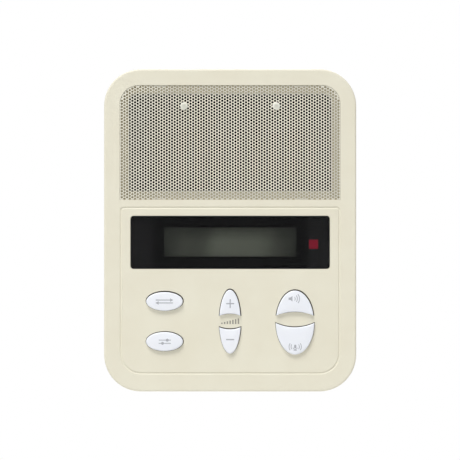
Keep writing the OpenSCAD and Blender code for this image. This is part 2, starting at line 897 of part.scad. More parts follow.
// small outline chip with gull wing legs, lying on the back of the board
module chip(at, size, legs) {
    edge = size[1] / 2;
    foot = chip_high - leg_thick;
    dot = size[1] / 8;
    translate([at[0], at[1], board_back - chip_high]) {
        difference() {
            translate([-size[0] / 2, -edge, 0]) cube([size[0], size[1], chip_high - chip_lift]);
            translate([-size[0] / 2 + 2 * dot, 0, -past]) cylinder(r = dot, h = past + chip_lift);
        }
        for (i = [0 : legs - 1])
            for (y = [-1, 1])
                translate([(i - (legs - 1) / 2) * leg_step - leg_wide / 2, 0, 0])
                    mirror([0, y > 0 ? 0 : 1, 0]) rotate([90, 0, 90])
                    linear_extrude(leg_wide) polygon([[edge - leg_thick, leg_knee],
                        [edge + leg_knee, leg_knee], [edge + leg_reach / 2 + leg_thick, foot],
                        [edge + leg_reach, foot], [edge + leg_reach, chip_high],
                        [edge + leg_reach / 2, chip_high],
                        [edge + leg_knee - leg_thick, leg_knee + leg_thick],
                        [edge - leg_thick, leg_knee + leg_thick]]);
    }
}

module controller_chip() {
    upright() color("DimGray") chip(controller_at, controller_size, controller_legs);
}

module amplifier_chip() {
    upright() color("DimGray") chip(amplifier_at, amplifier_size, amplifier_legs);
}

module capacitors() {
    can = can_radius;
    waist = board_back - 2 * can_step;
    crown = board_back - can_high;
    upright() color("MidnightBlue") for (x = can_x)
        turned([x, can_y]) polygon([[0, board_back], [can, board_back], [can, waist],
            [can - can_bead, waist - can_step], [can, waist - 2 * can_step], [can, crown + can_bead],
            [can - can_bead, crown], [0, crown]]);
}

module terminal_block() {
    long = pole_count * pole_step;
    upright() color("SeaGreen")
        translate([-long / 2, terminal_y - terminal_deep / 2, board_back - terminal_high]) difference() {
            rotate([90, 0, 90]) linear_extrude(long) polygon([[0, 0],
                [terminal_deep - terminal_slope[0], 0], [terminal_deep, terminal_slope[1]],
                [terminal_deep, terminal_high], [0, terminal_high]]);
            for (i = [0 : pole_count - 1]) {
                translate([i * pole_step + (pole_step - terminal_entry) / 2, -past,
                    terminal_wall + terminal_floor])
                    cube([terminal_entry, terminal_deep - terminal_wall, terminal_entry * 1.25]);
                translate([(i + 0.5) * pole_step, terminal_deep / 2 - terminal_off, -past])
                    cylinder(r = terminal_well, h = terminal_well_deep + past);
            }
        }
}

module terminal_screws() {
    long = pole_count * pole_step;
    head = board_back - terminal_high + terminal_screw_drop;
    upright() color("Silver") for (i = [0 : pole_count - 1])
        difference() {
            rod([(i + 0.5) * pole_step - long / 2, terminal_y - terminal_off], terminal_screw, head,
                board_back - terminal_high + terminal_well_deep);
            translate([(i + 0.5) * pole_step - long / 2, terminal_y - terminal_off, head])
                cube([2 * terminal_screw + past, terminal_screw / 3, terminal_screw / 2], center = true);
        }
}

module speaker_header() {
    upright() color("WhiteSmoke") translate([header_at[0] - header_width / 2, header_at[1] - header_deep / 2,
        board_back - header_high]) difference() {
            cube([header_width, header_deep, header_high]);
            translate([1, -past, -past]) cube([header_width - 2, 2 + past, header_high - 1]);
        }
}

module ribbon_header() {
    wide = 2 * ribbon_half + 4;
    slot = ribbon_thick + 0.3;
    upright() color("Linen") difference() {
        translate([-wide / 2, ribbon_header_y - ribbon_header_deep, board_back - ribbon_header_high])
            cube([wide, ribbon_header_deep, ribbon_header_high]);
        translate([-ribbon_half - 0.2, ribbon_header_y - 3, lcd_back + ribbon_level - slot / 2])
            cube([2 * ribbon_half + 0.4, 3 + past, slot]);
    }
}

// speaker: profiles turned about its axis

function arc_at(r0, z0, radius, from, to, steps) =
    [for (i = [0 : steps]) let (t = from + (to - from) * i / steps)
        [r0 + radius * cos(t), z0 + radius * sin(t)]];

function cone_z(r) = frame_front - neck_drop * (1 - pow((r - neck) / (cone_edge - cone_lip - neck), 0.8));

module speaker_gasket() {
    upright() color("DimGray") turned([0, grille_y])
        translate([gasket_inner, frame_front]) square([flange_radius - gasket_inner, gasket_thick]);
}

module speaker_frame() {
    sheet = frame_sheet;
    low = frame_front - sheet;
    upright() color("Silver") translate([0, grille_y, 0]) difference() {
        union() {
            rotate_extrude() polygon([[surround_edge, low], [shelf_out + 5.4, low], [shelf_out, shelf_z],
                [shelf_in, shelf_z], [shelf_in, frame_back + sheet], [plate_bore + 0.4, frame_back + sheet],
                [plate_bore + 0.4, frame_back], [shelf_in + sheet, frame_back],
                [shelf_in + sheet, shelf_z - sheet],
                [shelf_out + sheet, shelf_z - sheet], [shelf_out + 6.4, low], [flange_radius, low],
                [flange_radius, frame_front], [surround_edge, frame_front]]);
            for (turn = [0 : 90 : 270])
                rotate([0, 0, turn]) {
                    rod([ear_at, 0], ear_radius, low, frame_front);
                    translate([flange_radius - 2, -ear_arm / 2, low])
                        cube([ear_at - flange_radius + 2, ear_arm, sheet]);
                }
        }
        for (turn = [0 : 90 : 270])
            rotate([0, 0, turn]) {
                rod([ear_at, 0], small_screw + hole_play, low - past, frame_front + past);
                rotate([0, 0, 45]) translate([shelf_in, -9, shelf_z + 1.2])
                    cube([14, 18, shelf_drop - sheet - 2.4]);
            }
    }
}

module speaker_surround() {
    middle = (surround_edge + cone_edge) / 2;
    roll = (surround_edge - cone_edge) / 2;
    upright() color("Black") turned([0, grille_y]) polygon(concat(
        [[gasket_inner - 0.2, frame_front], [gasket_inner - 0.2, frame_front + paper]],
        arc_at(middle, frame_front + paper, roll, 0, 180, 12),
        [[cone_edge - cone_lip, frame_front + paper], [cone_edge - cone_lip, frame_front],
            [cone_edge + paper, frame_front]],
        arc_at(middle, frame_front + paper, roll - paper, 180, 0, 12),
        [[surround_edge - paper, frame_front]]));
}

module speaker_cone() {
    steps = 8;
    span = cone_edge - cone_lip - neck;
    upright() color("DarkSlateGray") turned([0, grille_y]) polygon(concat(
        [for (i = [0 : steps]) let (r = neck + span * i / steps) [r, cone_z(r)]],
        [[cone_edge, frame_front], [cone_edge, frame_front - paper]],
        [for (i = [steps : -1 : 0]) let (r = neck + span * i / steps) [r, cone_z(r) - paper]]));
}

module dust_cap() {
    steps = 8;
    rim_z = cone_z(cap_rim);
    upright() color("Black") turned([0, grille_y]) polygon(concat(
        [for (i = [0 : steps]) let (t = 90 * i / steps) [cap_rim * sin(t), rim_z + cap_high * cos(t)]],
        [for (i = [steps : -1 : 0]) let (t = 90 * i / steps)
            [(cap_rim - paper) * sin(t), rim_z + 0.001 + (cap_high - paper) * cos(t)]]));
}

module voice_coil() {
    foot = plate_back - 1.5;
    upright() color("Chocolate") turned([0, grille_y]) polygon([[former_radius, foot],
        [neck + coil_wound, foot], [neck + coil_wound, foot + 5], [neck, foot + 5],
        [neck, frame_front - neck_drop + 0.4], [former_radius, frame_front - neck_drop + 0.4]]);
}

module spider() {
    waves = 4;
    start = neck;
    span = shelf_in - start;
    steps = 32;
    thick = 0.3;
    high = 0.45;
    mid = shelf_z + high;
    upright() color("Goldenrod") turned([0, grille_y]) polygon(concat(
        [for (i = [0 : steps]) [start + span * i / steps, mid - high * cos(360 * waves * i / steps) + thick]],
        [[shelf_out - 0.4, shelf_z + thick], [shelf_out - 0.4, shelf_z]],
        [for (i = [steps : -1 : 0]) [start + span * i / steps, mid - high * cos(360 * waves * i / steps)]]));
}

module top_plate() {
    upright() color("Silver") translate([0, grille_y, plate_back]) difference() {
        cylinder(r = plate_radius, h = plate_thick);
        translate([0, 0, -past]) cylinder(r = plate_bore, h = plate_thick + 2 * past);
    }
}

module magnet() {
    upright() color("DimGray") translate([0, grille_y, magnet_back]) difference() {
        cylinder(r = magnet_radius, h = magnet_depth);
        translate([0, 0, -past]) cylinder(r = magnet_bore, h = magnet_depth + 2 * past);
    }
}

module yoke() {
    lip = 1;
    upright() color("Silver") turned([0, grille_y]) polygon([[vent_radius, magnet_back - plate_thick],
        [plate_radius - lip, magnet_back - plate_thick], [plate_radius, magnet_back - plate_thick + lip],
        [plate_radius, magnet_back], [pole_radius, magnet_back], [pole_radius, frame_back],
        [vent_radius, frame_back]]);
}

module tag_board() {
    upright() color("SaddleBrown")
        translate([shelf_in + frame_sheet + fit, grille_y - tag_half, tag_front - tag_thick])
            cube([tag_length, 2 * tag_half, tag_thick]);
}

module solder_tags() {
    tag = 2.4;
    long = 7;
    thick = 0.4;
    upright() color("Gold") for (y = [-1, 1])
        translate([shelf_in + frame_sheet + fit + tag_length - 4, grille_y + y * tag_gap / 2 - tag / 2,
            tag_front - tag_thick - thick]) difference() {
                cube([long, tag, thick]);
                translate([long - 1.2, tag / 2, -past]) cylinder(r = 0.5, h = thick + 2 * past);
            }
}

module speaker_screws() {
    upright() color("Silver") for (turn = [0 : 90 : 270])
        pan_screw([ear_at * cos(turn), grille_y + ear_at * sin(turn)], small_screw, small_head + 0.3,
            small_head_high, frame_front - frame_sheet, inner + 0.4);
}

module red_lead() {
    upright() color("Red") translate([0, 0, lead_lift]) tube(follow(red_path), lead_radius, lead_sides);
}

module black_lead() {
    upright() color("Black") translate([0, 0, lead_lift]) tube(follow(black_path), lead_radius, lead_sides);
}

front_panel();
speaker_grille();
grille_cloth();
mounting_screws();
display_lens();
window_mask();
display_gasket();
lcd_bezel();
lcd_glass();
contact_strips();
lcd_backlight();
lcd_board();
lcd_screws();
display_ribbon();
indicator_pipe();
indicator_led();
source_button();
set_button();
volume_up_button();
volume_down_button();
listen_button();
talk_button();
keypad_mat();
source_pill();
set_pill();
volume_up_pill();
volume_down_pill();
listen_pill();
talk_pill();
main_board();
board_screws();
controller_chip();
amplifier_chip();
capacitors();
terminal_block();
terminal_screws();
speaker_header();
ribbon_header();
speaker_gasket();
speaker_frame();
speaker_surround();
speaker_cone();
dust_cap();
voice_coil();
spider();
top_plate();
magnet();
yoke();
tag_board();
solder_tags();
speaker_screws();
red_lead();
black_lead();
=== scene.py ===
"""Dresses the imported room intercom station: fine pieces, finishes, studio light and camera.

Sizes are in millimetres, in the axes of the part's source: x to the right, y up the wall and z out
of the wall towards the user. Solid turns them into the frame's metres.
"""

from __future__ import annotations

import json
import logging
import math
from collections.abc import Callable, Iterable, Sequence
from dataclasses import dataclass, field
from enum import Enum
from functools import cached_property

import bmesh
import bpy
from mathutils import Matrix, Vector
from mathutils.bvhtree import BVHTree
from mathutils.geometry import delaunay_2d_cdt

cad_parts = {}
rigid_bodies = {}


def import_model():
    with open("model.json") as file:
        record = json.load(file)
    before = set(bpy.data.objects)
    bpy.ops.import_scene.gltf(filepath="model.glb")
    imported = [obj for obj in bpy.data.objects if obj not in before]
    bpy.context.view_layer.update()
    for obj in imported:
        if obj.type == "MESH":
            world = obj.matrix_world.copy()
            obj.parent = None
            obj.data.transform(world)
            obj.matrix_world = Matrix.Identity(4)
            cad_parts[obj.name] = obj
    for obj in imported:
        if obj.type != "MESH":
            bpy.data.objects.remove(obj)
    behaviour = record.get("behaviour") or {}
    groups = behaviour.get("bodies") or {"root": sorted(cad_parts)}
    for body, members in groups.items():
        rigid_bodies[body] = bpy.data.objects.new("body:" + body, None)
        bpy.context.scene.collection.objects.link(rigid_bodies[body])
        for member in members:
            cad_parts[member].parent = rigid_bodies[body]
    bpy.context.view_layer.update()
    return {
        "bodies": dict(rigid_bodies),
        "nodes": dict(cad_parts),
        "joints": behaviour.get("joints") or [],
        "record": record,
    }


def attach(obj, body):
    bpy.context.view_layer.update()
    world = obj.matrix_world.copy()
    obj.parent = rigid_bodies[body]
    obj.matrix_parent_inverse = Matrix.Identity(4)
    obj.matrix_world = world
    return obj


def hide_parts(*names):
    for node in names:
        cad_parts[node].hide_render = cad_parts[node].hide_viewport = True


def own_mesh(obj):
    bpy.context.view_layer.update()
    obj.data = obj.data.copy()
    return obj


Flat = tuple[float, float]
Spot = tuple[float, float, float]
Colour = tuple[int, int, int]
Net = tuple[list[Flat], list[list[int]], list[int]]
Socket = bpy.types.NodeSocket

MM = 0.001
QUARTER = math.pi / 2
WHITE = (1.0, 1.0, 1.0, 1.0)
WAVE_FACTOR = 20.0  # radians that Blender's band texture turns per unit of its scale
EDGE_SAMPLES = 6
BAR_STEPS = 6  # lengths round each end of a printed stroke
GLOSS_GRAIN = 0.3  # lumps of the gloss for each lump of the grain
SCATTER_REACH = (0.002, 0.002, 0.0015)
NET_FINE = 1e-7
MERGE_WITHIN = 2e-7
LEAST_EDGE = 1e-8
LOG = logging.getLogger("intercom_station")


class Body(Enum):
    """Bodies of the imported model."""

    STATION = "station"
    SOURCE = "source_key"
    SET = "set_key"
    VOLUME_UP = "volume_up_key"
    VOLUME_DOWN = "volume_down_key"
    LISTEN = "listen_key"
    TALK = "talk_key"
    CONE = "cone_assembly"


class Slot(Enum):
    """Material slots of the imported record."""

    PANEL = "panel_ivory"
    GRILLE = "grille_ivory"
    CLOTH = "cloth_black"
    MOUNT_SCREW = "screw_ivory"
    WINDOW = "window_clear"
    MASK = "mask_black"
    FOAM = "foam_black"
    BEZEL = "bezel_black"
    LCD = "lcd_glass"
    STRIP = "strip_pink"
    BACKLIGHT = "backlight_white"
    BOARD = "board_green"
    STEEL = "screw_steel"
    RIBBON = "ribbon_grey"
    PIPE = "pipe_red"
    LED = "led_white"
    KEY = "key_white"
    MAT = "mat_grey"
    PILL = "pill_black"
    CHIP = "chip_black"
    CAN = "can_blue"
    TERMINAL = "terminal_green"
    HEADER = "header_white"
    FRAME = "frame_steel"
    SURROUND = "surround_black"
    CONE = "cone_paper"
    COIL = "coil_copper"
    SPIDER = "spider_cloth"
    FERRITE = "ferrite_grey"
    TAG_BOARD = "tag_brown"
    TAG = "tag_brass"
    RED_LEAD = "lead_red"
    BLACK_LEAD = "lead_black"


class Trim(Enum):
    """Finishes of the fine pieces that have none in the record."""

    FELT_SHADE = "felt_tape"
    # Painted shade: the walls of the grille's holes, darker so that the holes look deeper.
    HOLE_SHADE = "punched_edge"
    KEY_PRINT = "key_print"
    # Painted shade: the keys' sides and flanges below the panel's face are darkened to stand in for the
    # shade in the gaps round the keys.
    KEY_GAP_SHADE = "key_skirt"
    PANEL_PRINT = "panel_print"
    BOARD_PRINT = "board_print"
    TIN = "tin"
    EPOXY = "epoxy"


class Axis(Enum):
    """Axes of the frame, as Blender's band textures name them."""

    X = "X"
    Y = "Y"
    Z = "Z"


def linear(colour: Colour) -> tuple[float, float, float, float]:
    """Turns an sRGB colour of 0 to 255 into Blender's linear one.

    Args:
        colour: Red, green and blue as they show on a screen.

    Returns:
        The linear colour with full alpha.
    """
    shares = [c / 255.0 for c in colour]
    values = [c / 12.92 if c <= 0.04045 else ((c + 0.055) / 1.055) ** 2.4 for c in shares]
    return (values[0], values[1], values[2], 1.0)


class Recipe:
    """Nodes of a material or of the world, with short ways to add to them."""

    def __init__(self, owner: bpy.types.Material | bpy.types.World) -> None:
        """Empties the owner's nodes.

        Args:
            owner: Material or world that the nodes belong to.
        """
        owner.use_nodes = True
        self.tree = owner.node_tree
        self.tree.nodes.clear()

    @cached_property
    def place(self) -> Socket:
        """Coordinates on the object, in metres."""
        return self.add("ShaderNodeTexCoord").outputs["Object"]

    def add(self, kind: str, inputs: dict[str | int, Socket | float | tuple] | None = None,
            **settings: object) -> bpy.types.Node:
        """Adds a node.

        Args:
            kind: Blender's name of the node type.
            inputs: Link or plain value for each input, by its name or number.
            settings: Properties to set on it.

        Returns:
            The new node.
        """
        node = self.tree.nodes.new(kind)
        for name, value in settings.items():
            setattr(node, name, value)
        for key, value in (inputs or {}).items():
            if isinstance(value, bpy.types.NodeSocket):
                self.tree.links.new(value, node.inputs[key])
            else:
                node.inputs[key].default_value = value
        return node

    def scaled(self, by: Spot) -> Socket:
        """Stretches the coordinates by a factor along each axis of the frame."""
        return self.add("ShaderNodeMapping", {"Vector": self.place, "Scale": by}).outputs["Vector"]

    def noise(self, scale: float, detail: float = 3.0, by: Spot = (1.0, 1.0, 1.0)) -> Socket:
        """Adds soft noise.

        Args:
            scale: Lumps per metre.
            detail: Finer layers on top of the first.
            by: Stretch of the coordinates.

        Returns:
            A value of about 0.3 to 0.7.
        """
        inputs = {"Scale": scale, "Detail": detail, "Vector": self.scaled(by)}
        return self.add("ShaderNodeTexNoise", inputs).outputs[0]

    def bands(self, pitch: float, axis: Axis, stray: float = 0.0) -> Socket:
        """Adds soft stripes.

        Args:
            pitch: Step from stripe to stripe, in millimetres.
            axis: Direction in which they follow each other.
            stray: How far they stray.

        Returns:
            A value of 0 to 1.
        """
        scale = math.tau / WAVE_FACTOR / (pitch * MM)
        inputs = {"Scale": scale, "Distortion": stray, "Vector": self.place}
        settings = {"wave_type": "BANDS", "bands_direction": axis.value}
        return self.add("ShaderNodeTexWave", inputs, **settings).outputs[1]

    def cells(self, scale: float) -> Socket:
        """Adds round cells, so many per metre, as the distance to the nearest middle."""
        return self.add("ShaderNodeTexVoronoi", {"Scale": scale, "Vector": self.place}).outputs["Distance"]

    def along(self, axis: Axis) -> Socket:
        """Gives the object coordinate along one axis, in metres."""
        return self.add("ShaderNodeSeparateXYZ", {0: self.place}).outputs[axis.value]

    def calc(self, operation: str, first: Socket | float, second: Socket | float = 0.0) -> Socket:
        """Adds a step of arithmetic.

        Args:
            operation: Blender's name of it.
            first: Link or number.
            second: Link or number.

        Returns:
            The result.
        """
        return self.add("ShaderNodeMath", {0: first, 1: second}, operation=operation).outputs[0]

    def spread(self, value: Socket, ends: Flat = (0.0, 1.0), reach: Flat = (0.3, 0.7),
               soft: bool = False) -> Socket:
        """Maps a value onto a range and holds it there.

        Args:
            value: Link to map.
            ends: What comes out at the two ends.
            reach: What goes in at the two ends.
            soft: Whether it eases in and out.

        Returns:
            The mapped value.
        """
        numbers = {"From Min": reach[0], "From Max": reach[1], "To Min": ends[0], "To Max": ends[1]}
        kind = "SMOOTHSTEP" if soft else "LINEAR"
        node = self.add("ShaderNodeMapRange", {"Value": value, **numbers}, interpolation_type=kind)
        return node.outputs["Result"]

    def ramp(self, place: Socket, ends: Flat, reach: Flat) -> Socket:
        """Does what spread does, with the reach in millimetres."""
        return self.spread(place, ends, (reach[0] * MM, reach[1] * MM))

    def blend(self, share: Socket, first: Socket | Colour, second: Socket | Colour) -> Socket:
        """Mixes two colours.

        Args:
            share: 0 for the first, 1 for the second.
            first: Link or sRGB colour.
            second: Link or sRGB colour.

        Returns:
            The mixed colour.
        """
        pair = [c if isinstance(c, bpy.types.NodeSocket) else linear(c) for c in (first, second)]
        return self.add("ShaderNodeMix", {0: share, 6: pair[0], 7: pair[1]}, data_type="RGBA").outputs[2]

    def seen(self) -> Socket:
        """Gives 1 on a ray that sees, mirrors or looks through, and 0 on one that lights.

        Returns:
            The share.
        """
        path = self.add("ShaderNodeLightPath").outputs
        direct = self.calc("MAXIMUM", path["Is Camera Ray"], path["Is Glossy Ray"])
        return self.calc("MAXIMUM", direct, path["Is Transmission Ray"])


@dataclass(frozen=True)
class Finish:
    """A surface of two close colours in soft patches, with grain in its gloss and height.

    Colours are sRGB, patch and grain are lumps per metre, relief and soft_edge are millimetres.
    """

    colour: Colour
    second: Colour
    patch: float = 45.0
    grain: float = 2400.0
    relief: float = 0.006
    rough: float = 0.45
    swing: float = 0.06
    metallic: float = 0.0
    specular: float = 0.5
    coat: float = 0.0
    clear: float = 0.0
    ior: float = 1.46
    scatter: float = 0.0
    soft_edge: float = 0.0

    def pattern(self, recipe: Recipe) -> tuple[Socket, Socket]:
        """Draws the surface.

        Args:
            recipe: Nodes to draw in.

        Returns:
            Its colour and its height.
        """
        share = recipe.spread(recipe.noise(self.patch))
        return recipe.blend(share, self.colour, self.second), recipe.noise(self.grain)

    def shade(self, recipe: Recipe) -> Socket:
        """Draws the surface and gives it its gloss.

        Args:
            recipe: Nodes to draw in.

        Returns:
            The shader.
        """
        colour, height = self.pattern(recipe)
        gloss = recipe.noise(self.grain * GLOSS_GRAIN)
        rise = {"Height": height, "Distance": self.relief * MM}
        if self.soft_edge:
            edge = recipe.add("ShaderNodeBevel", {"Radius": self.soft_edge * MM}, samples=EDGE_SAMPLES)
            rise["Normal"] = edge.outputs["Normal"]
        return recipe.add("ShaderNodeBsdfPrincipled", {
            "Base Color": colour,
            "Roughness": recipe.spread(gloss, (self.rough - self.swing, self.rough + self.swing)),
            "Normal": recipe.add("ShaderNodeBump", rise).outputs["Normal"],
            "Metallic": self.metallic,
            "Specular IOR Level": self.specular,
            "Coat Weight": self.coat,
            "Alpha": 1.0 - self.clear,
            "IOR": self.ior,
            "Subsurface Weight": self.scatter,
            "Subsurface Radius": SCATTER_REACH,
        }).outputs["BSDF"]

    def material(self, name: str) -> bpy.types.Material:
        """Makes the material of that name.

        Args:
            name: Name of the material.

        Returns:
            The finished material.
        """
        made = bpy.data.materials.new(name)
        recipe = Recipe(made)
        recipe.add("ShaderNodeOutputMaterial", {"Surface": self.shade(recipe)})
        return made


@dataclass(frozen=True)
class Woven(Finish):
    """Plain weave of threads across x and z."""

    pitch: float = 0.45
    stray: float = 0.4
    fuzz: float = 0.4
    reach: Flat = (0.2, 1.1)

    def pattern(self, recipe: Recipe) -> tuple[Socket, Socket]:
        """Draws warp and weft over each other.

        Args:
            recipe: Nodes to draw in.

        Returns:
            Its colour and its height.
        """
        warp = recipe.bands(self.pitch, Axis.X, self.stray)
        weft = recipe.bands(self.pitch, Axis.Z, self.stray)
        weave = recipe.calc("MULTIPLY", recipe.calc("ADD", warp, weft), 0.5)
        fuzz = recipe.calc("MULTIPLY", recipe.noise(self.grain), self.fuzz)
        share = recipe.spread(recipe.calc("ADD", weave, fuzz), reach=self.reach)
        return recipe.blend(share, self.colour, self.second), weave


@dataclass(frozen=True)
class Striped(Finish):
    """Fine stripes that follow each other along one axis."""

    pitch: float = 1.0
    axis: Axis = Axis.X
    stray: float = 0.1
    wear: float = 0.3
    reach: Flat = (0.2, 1.0)

    def pattern(self, recipe: Recipe) -> tuple[Socket, Socket]:
        """Draws the stripes with a little wear.

        Args:
            recipe: Nodes to draw in.

        Returns:
            Its colour and its height.
        """
        stripe = recipe.bands(self.pitch, self.axis, self.stray)
        wear = recipe.calc("MULTIPLY", recipe.noise(self.patch), self.wear)
        share = recipe.spread(recipe.calc("ADD", stripe, wear), reach=self.reach)
        return recipe.blend(share, self.colour, self.second), stripe


@dataclass(frozen=True)
class Brushed(Finish):
    """Metal with marks drawn out along one direction."""

    drawn: Spot = (1.0, 1.0, 0.06)
    layers: float = 4.0
    cloud: float = 0.6
    reach: Flat = (0.5, 1.1)

    def pattern(self, recipe: Recipe) -> tuple[Socket, Socket]:
        """Draws long fine marks over broad patches.

        Args:
            recipe: Nodes to draw in.

        Returns:
            Its colour and its height.
        """
        marks = recipe.noise(self.grain, self.layers, self.drawn)
        cloud = recipe.calc("MULTIPLY", recipe.noise(self.patch), self.cloud)
        share = recipe.spread(recipe.calc("ADD", marks, cloud), reach=self.reach)
        return recipe.blend(share, self.colour, self.second), marks


@dataclass(frozen=True)
class Porous(Finish):
    """Small round pores or grains, as in foam, sintered magnets and pressed paper."""

    pores: float = 1600.0
    between: float = 0.5
    reach: Flat = (0.3, 1.0)

    def pattern(self, recipe: Recipe) -> tuple[Socket, Socket]:
        """Draws the pores and a fine noise between them.

        Args:
            recipe: Nodes to draw in.

        Returns:
            Its colour and its height.
        """
        fine = recipe.calc("MULTIPLY", recipe.noise(self.grain), self.between)
        rise = recipe.calc("ADD", recipe.cells(self.pores), fine)
        return recipe.blend(recipe.spread(rise, reach=self.reach), self.colour, self.second), rise


@dataclass(frozen=True)
class CircuitBoard(Finish):
    """Solder mask over copper tracks that run up, down and across."""

    track: float = 1.9
    wider: float = 1.3
    track_edge: Flat = (0.72, 0.8)
    field_edge: Flat = (0.48, 0.5)
    fine: float = 0.2

    def pattern(self, recipe: Recipe) -> tuple[Socket, Socket]:
        """Draws tracks in two directions, broken into fields.

        Args:
            recipe: Nodes to draw in.

        Returns:
            Its colour and its height.
        """
        up = recipe.spread(recipe.bands(self.track, Axis.X), reach=self.track_edge)
        across = recipe.spread(recipe.bands(self.track * self.wider, Axis.Z), reach=self.track_edge)
        upright = recipe.spread(recipe.noise(self.patch, 0.0), reach=self.field_edge)
        rising = recipe.calc("MULTIPLY", up, upright)
        lying = recipe.calc("MULTIPLY", across, recipe.calc("SUBTRACT", 1.0, upright))
        tracks = recipe.calc("ADD", rising, lying)
        fine = recipe.calc("MULTIPLY", recipe.noise(self.grain), self.fine)
        return recipe.blend(tracks, self.colour, self.second), recipe.calc("ADD", tracks, fine)


@dataclass(frozen=True)
class Display(Finish):
    """Unlit character display: two rows of faint cells on a soft cloud of grey green, with a painted
    reflection band leaning across it, painted shadow towards its sides and a darker top.
    """

    middle: float = -7.7
    cell: Flat = (3.7, 5.95)
    cell_share: Flat = (0.432, 0.466)
    cell_counts: tuple[int, int] = (20, 2)
    cell_dark: float = 0.05
    # The next fields place painted light: the leaning reflection band with its rise and fall, the lit middle
    # with its shaded sides, and the darker top.
    lean: float = 0.13
    band: float = 0.56
    reflection_rise: Flat = (-18.0, -9.0)
    reflection_fall: Flat = (17.0, 30.0)
    base: float = 0.44
    side_shade: Flat = (30.0, 43.0)
    upper: float = 0.42
    upper_from: Flat = (0.0, 7.0)
    cloud: float = 0.08
    cloud_drawn: Spot = (1.0, 1.0, 0.35)

    def gate(self, recipe: Recipe, place: Socket, axis: int) -> Socket:
        """Opens over the cells along one axis.

        Args:
            recipe: Nodes to draw in.
            place: Coordinate along the axis, from the middle, in metres.
            axis: 0 across the rows, 1 up the columns.

        Returns:
            1 over a cell and 0 between cells and past the last.
        """
        count = recipe.calc("DIVIDE", place, self.cell[axis] * MM)
        away = recipe.calc("ABSOLUTE", recipe.calc("SUBTRACT", recipe.calc("FRACT", count), 0.5))
        inside = recipe.calc("LESS_THAN", away, self.cell_share[axis])
        within = recipe.calc("LESS_THAN", recipe.calc("ABSOLUTE", count), self.cell_counts[axis] / 2)
        return recipe.calc("MULTIPLY", inside, within)

    def pattern(self, recipe: Recipe) -> tuple[Socket, Socket]:
        """Draws the cloud with its painted light: a leaning reflection band, painted shadow towards the
        sides and darker towards the top; then the faint cells.

        Args:
            recipe: Nodes to draw in.

        Returns:
            Its colour and its height.
        """
        across = recipe.along(Axis.X)
        up = recipe.calc("SUBTRACT", recipe.along(Axis.Z), self.middle * MM)
        lean = recipe.calc("SUBTRACT", across, recipe.calc("MULTIPLY", up, self.lean))
        # Painted reflection: a bright band that leans across the display.
        rise = recipe.ramp(lean, (0.0, self.band), self.reflection_rise)
        band = recipe.calc("MULTIPLY", rise, recipe.ramp(lean, (1.0, 0.0), self.reflection_fall))
        # Painted shadow of the bezel's sides: less light towards the left and right ends.
        base = recipe.ramp(recipe.calc("ABSOLUTE", across), (self.base, 0.0), self.side_shade)
        # Darker towards the top.
        upper = recipe.ramp(up, (1.0, self.upper), self.upper_from)
        painted_light = recipe.calc("MULTIPLY", recipe.calc("ADD", base, band), upper)
        cloud = recipe.spread(recipe.noise(self.patch, 1.0, self.cloud_drawn), (-self.cloud, self.cloud))
        cells = recipe.calc("MULTIPLY", self.gate(recipe, across, 0), self.gate(recipe, up, 1))
        dark = recipe.calc("MULTIPLY", cells, self.cell_dark)
        light = recipe.calc("SUBTRACT", recipe.calc("ADD", painted_light, cloud), dark)
        return recipe.blend(recipe.spread(light, reach=(0.0, 1.0)), self.colour, self.second), cells


@dataclass(frozen=True)
class Framed(Finish):
    """Layer that is darker between two upright lines; the lighter colour outside them is painted reflection.
    """

    inner: Colour = (4, 4, 5)
    half: float = 50.6
    soft: float = 0.8

    def pattern(self, recipe: Recipe) -> tuple[Socket, Socket]:
        """Draws the layer, lighter outside the lines as painted reflection, and the darker field between
        them.

        Args:
            recipe: Nodes to draw in.

        Returns:
            Its colour and its height.
        """
        paint, height = super().pattern(recipe)
        away = recipe.calc("ABSOLUTE", recipe.along(Axis.X))
        dark = recipe.ramp(away, (1.0, 0.0), (self.half - self.soft, self.half + self.soft))
        return recipe.blend(dark, paint, self.inner), height


@dataclass(frozen=True)
class Poled(Finish):
    """Moulding that is joined from equal poles side by side along x."""

    pole: float = 5.08
    poles: int = 8
    seam: Colour = (18, 52, 34)
    seam_edge: Flat = (0.006, 0.018)

    def pattern(self, recipe: Recipe) -> tuple[Socket, Socket]:
        """Draws the plain moulding and a fine seam between each two poles.

        Args:
            recipe: Nodes to draw in.

        Returns:
            Its colour and its height.
        """
        paint, _ = super().pattern(recipe)
        lines = recipe.spread(recipe.bands(self.pole, Axis.X), (1.0, 0.0), self.seam_edge)
        away = recipe.calc("ABSOLUTE", recipe.along(Axis.X))
        within = recipe.calc("LESS_THAN", away, (self.poles - 1) / 2 * self.pole * MM)
        seams = recipe.calc("MULTIPLY", lines, within)
        return recipe.blend(seams, paint, self.seam), recipe.calc("SUBTRACT", 1.0, seams)


@dataclass(frozen=True)
class SleevedCan(Finish):
    """Capacitor can in a printed sleeve, with its bare metal end past a given depth."""

    metal: Colour = (190, 192, 194)
    bare_from: float = 10.2

    def pattern(self, recipe: Recipe) -> tuple[Socket, Socket]:
        """Draws the sleeve and the bare end.

        Args:
            recipe: Nodes to draw in.

        Returns:
            Its colour and its height.
        """
        sleeve, height = super().pattern(recipe)
        bare = recipe.calc("GREATER_THAN", recipe.along(Axis.Y), self.bare_from * MM)
        return recipe.blend(bare, sleeve, self.metal), height


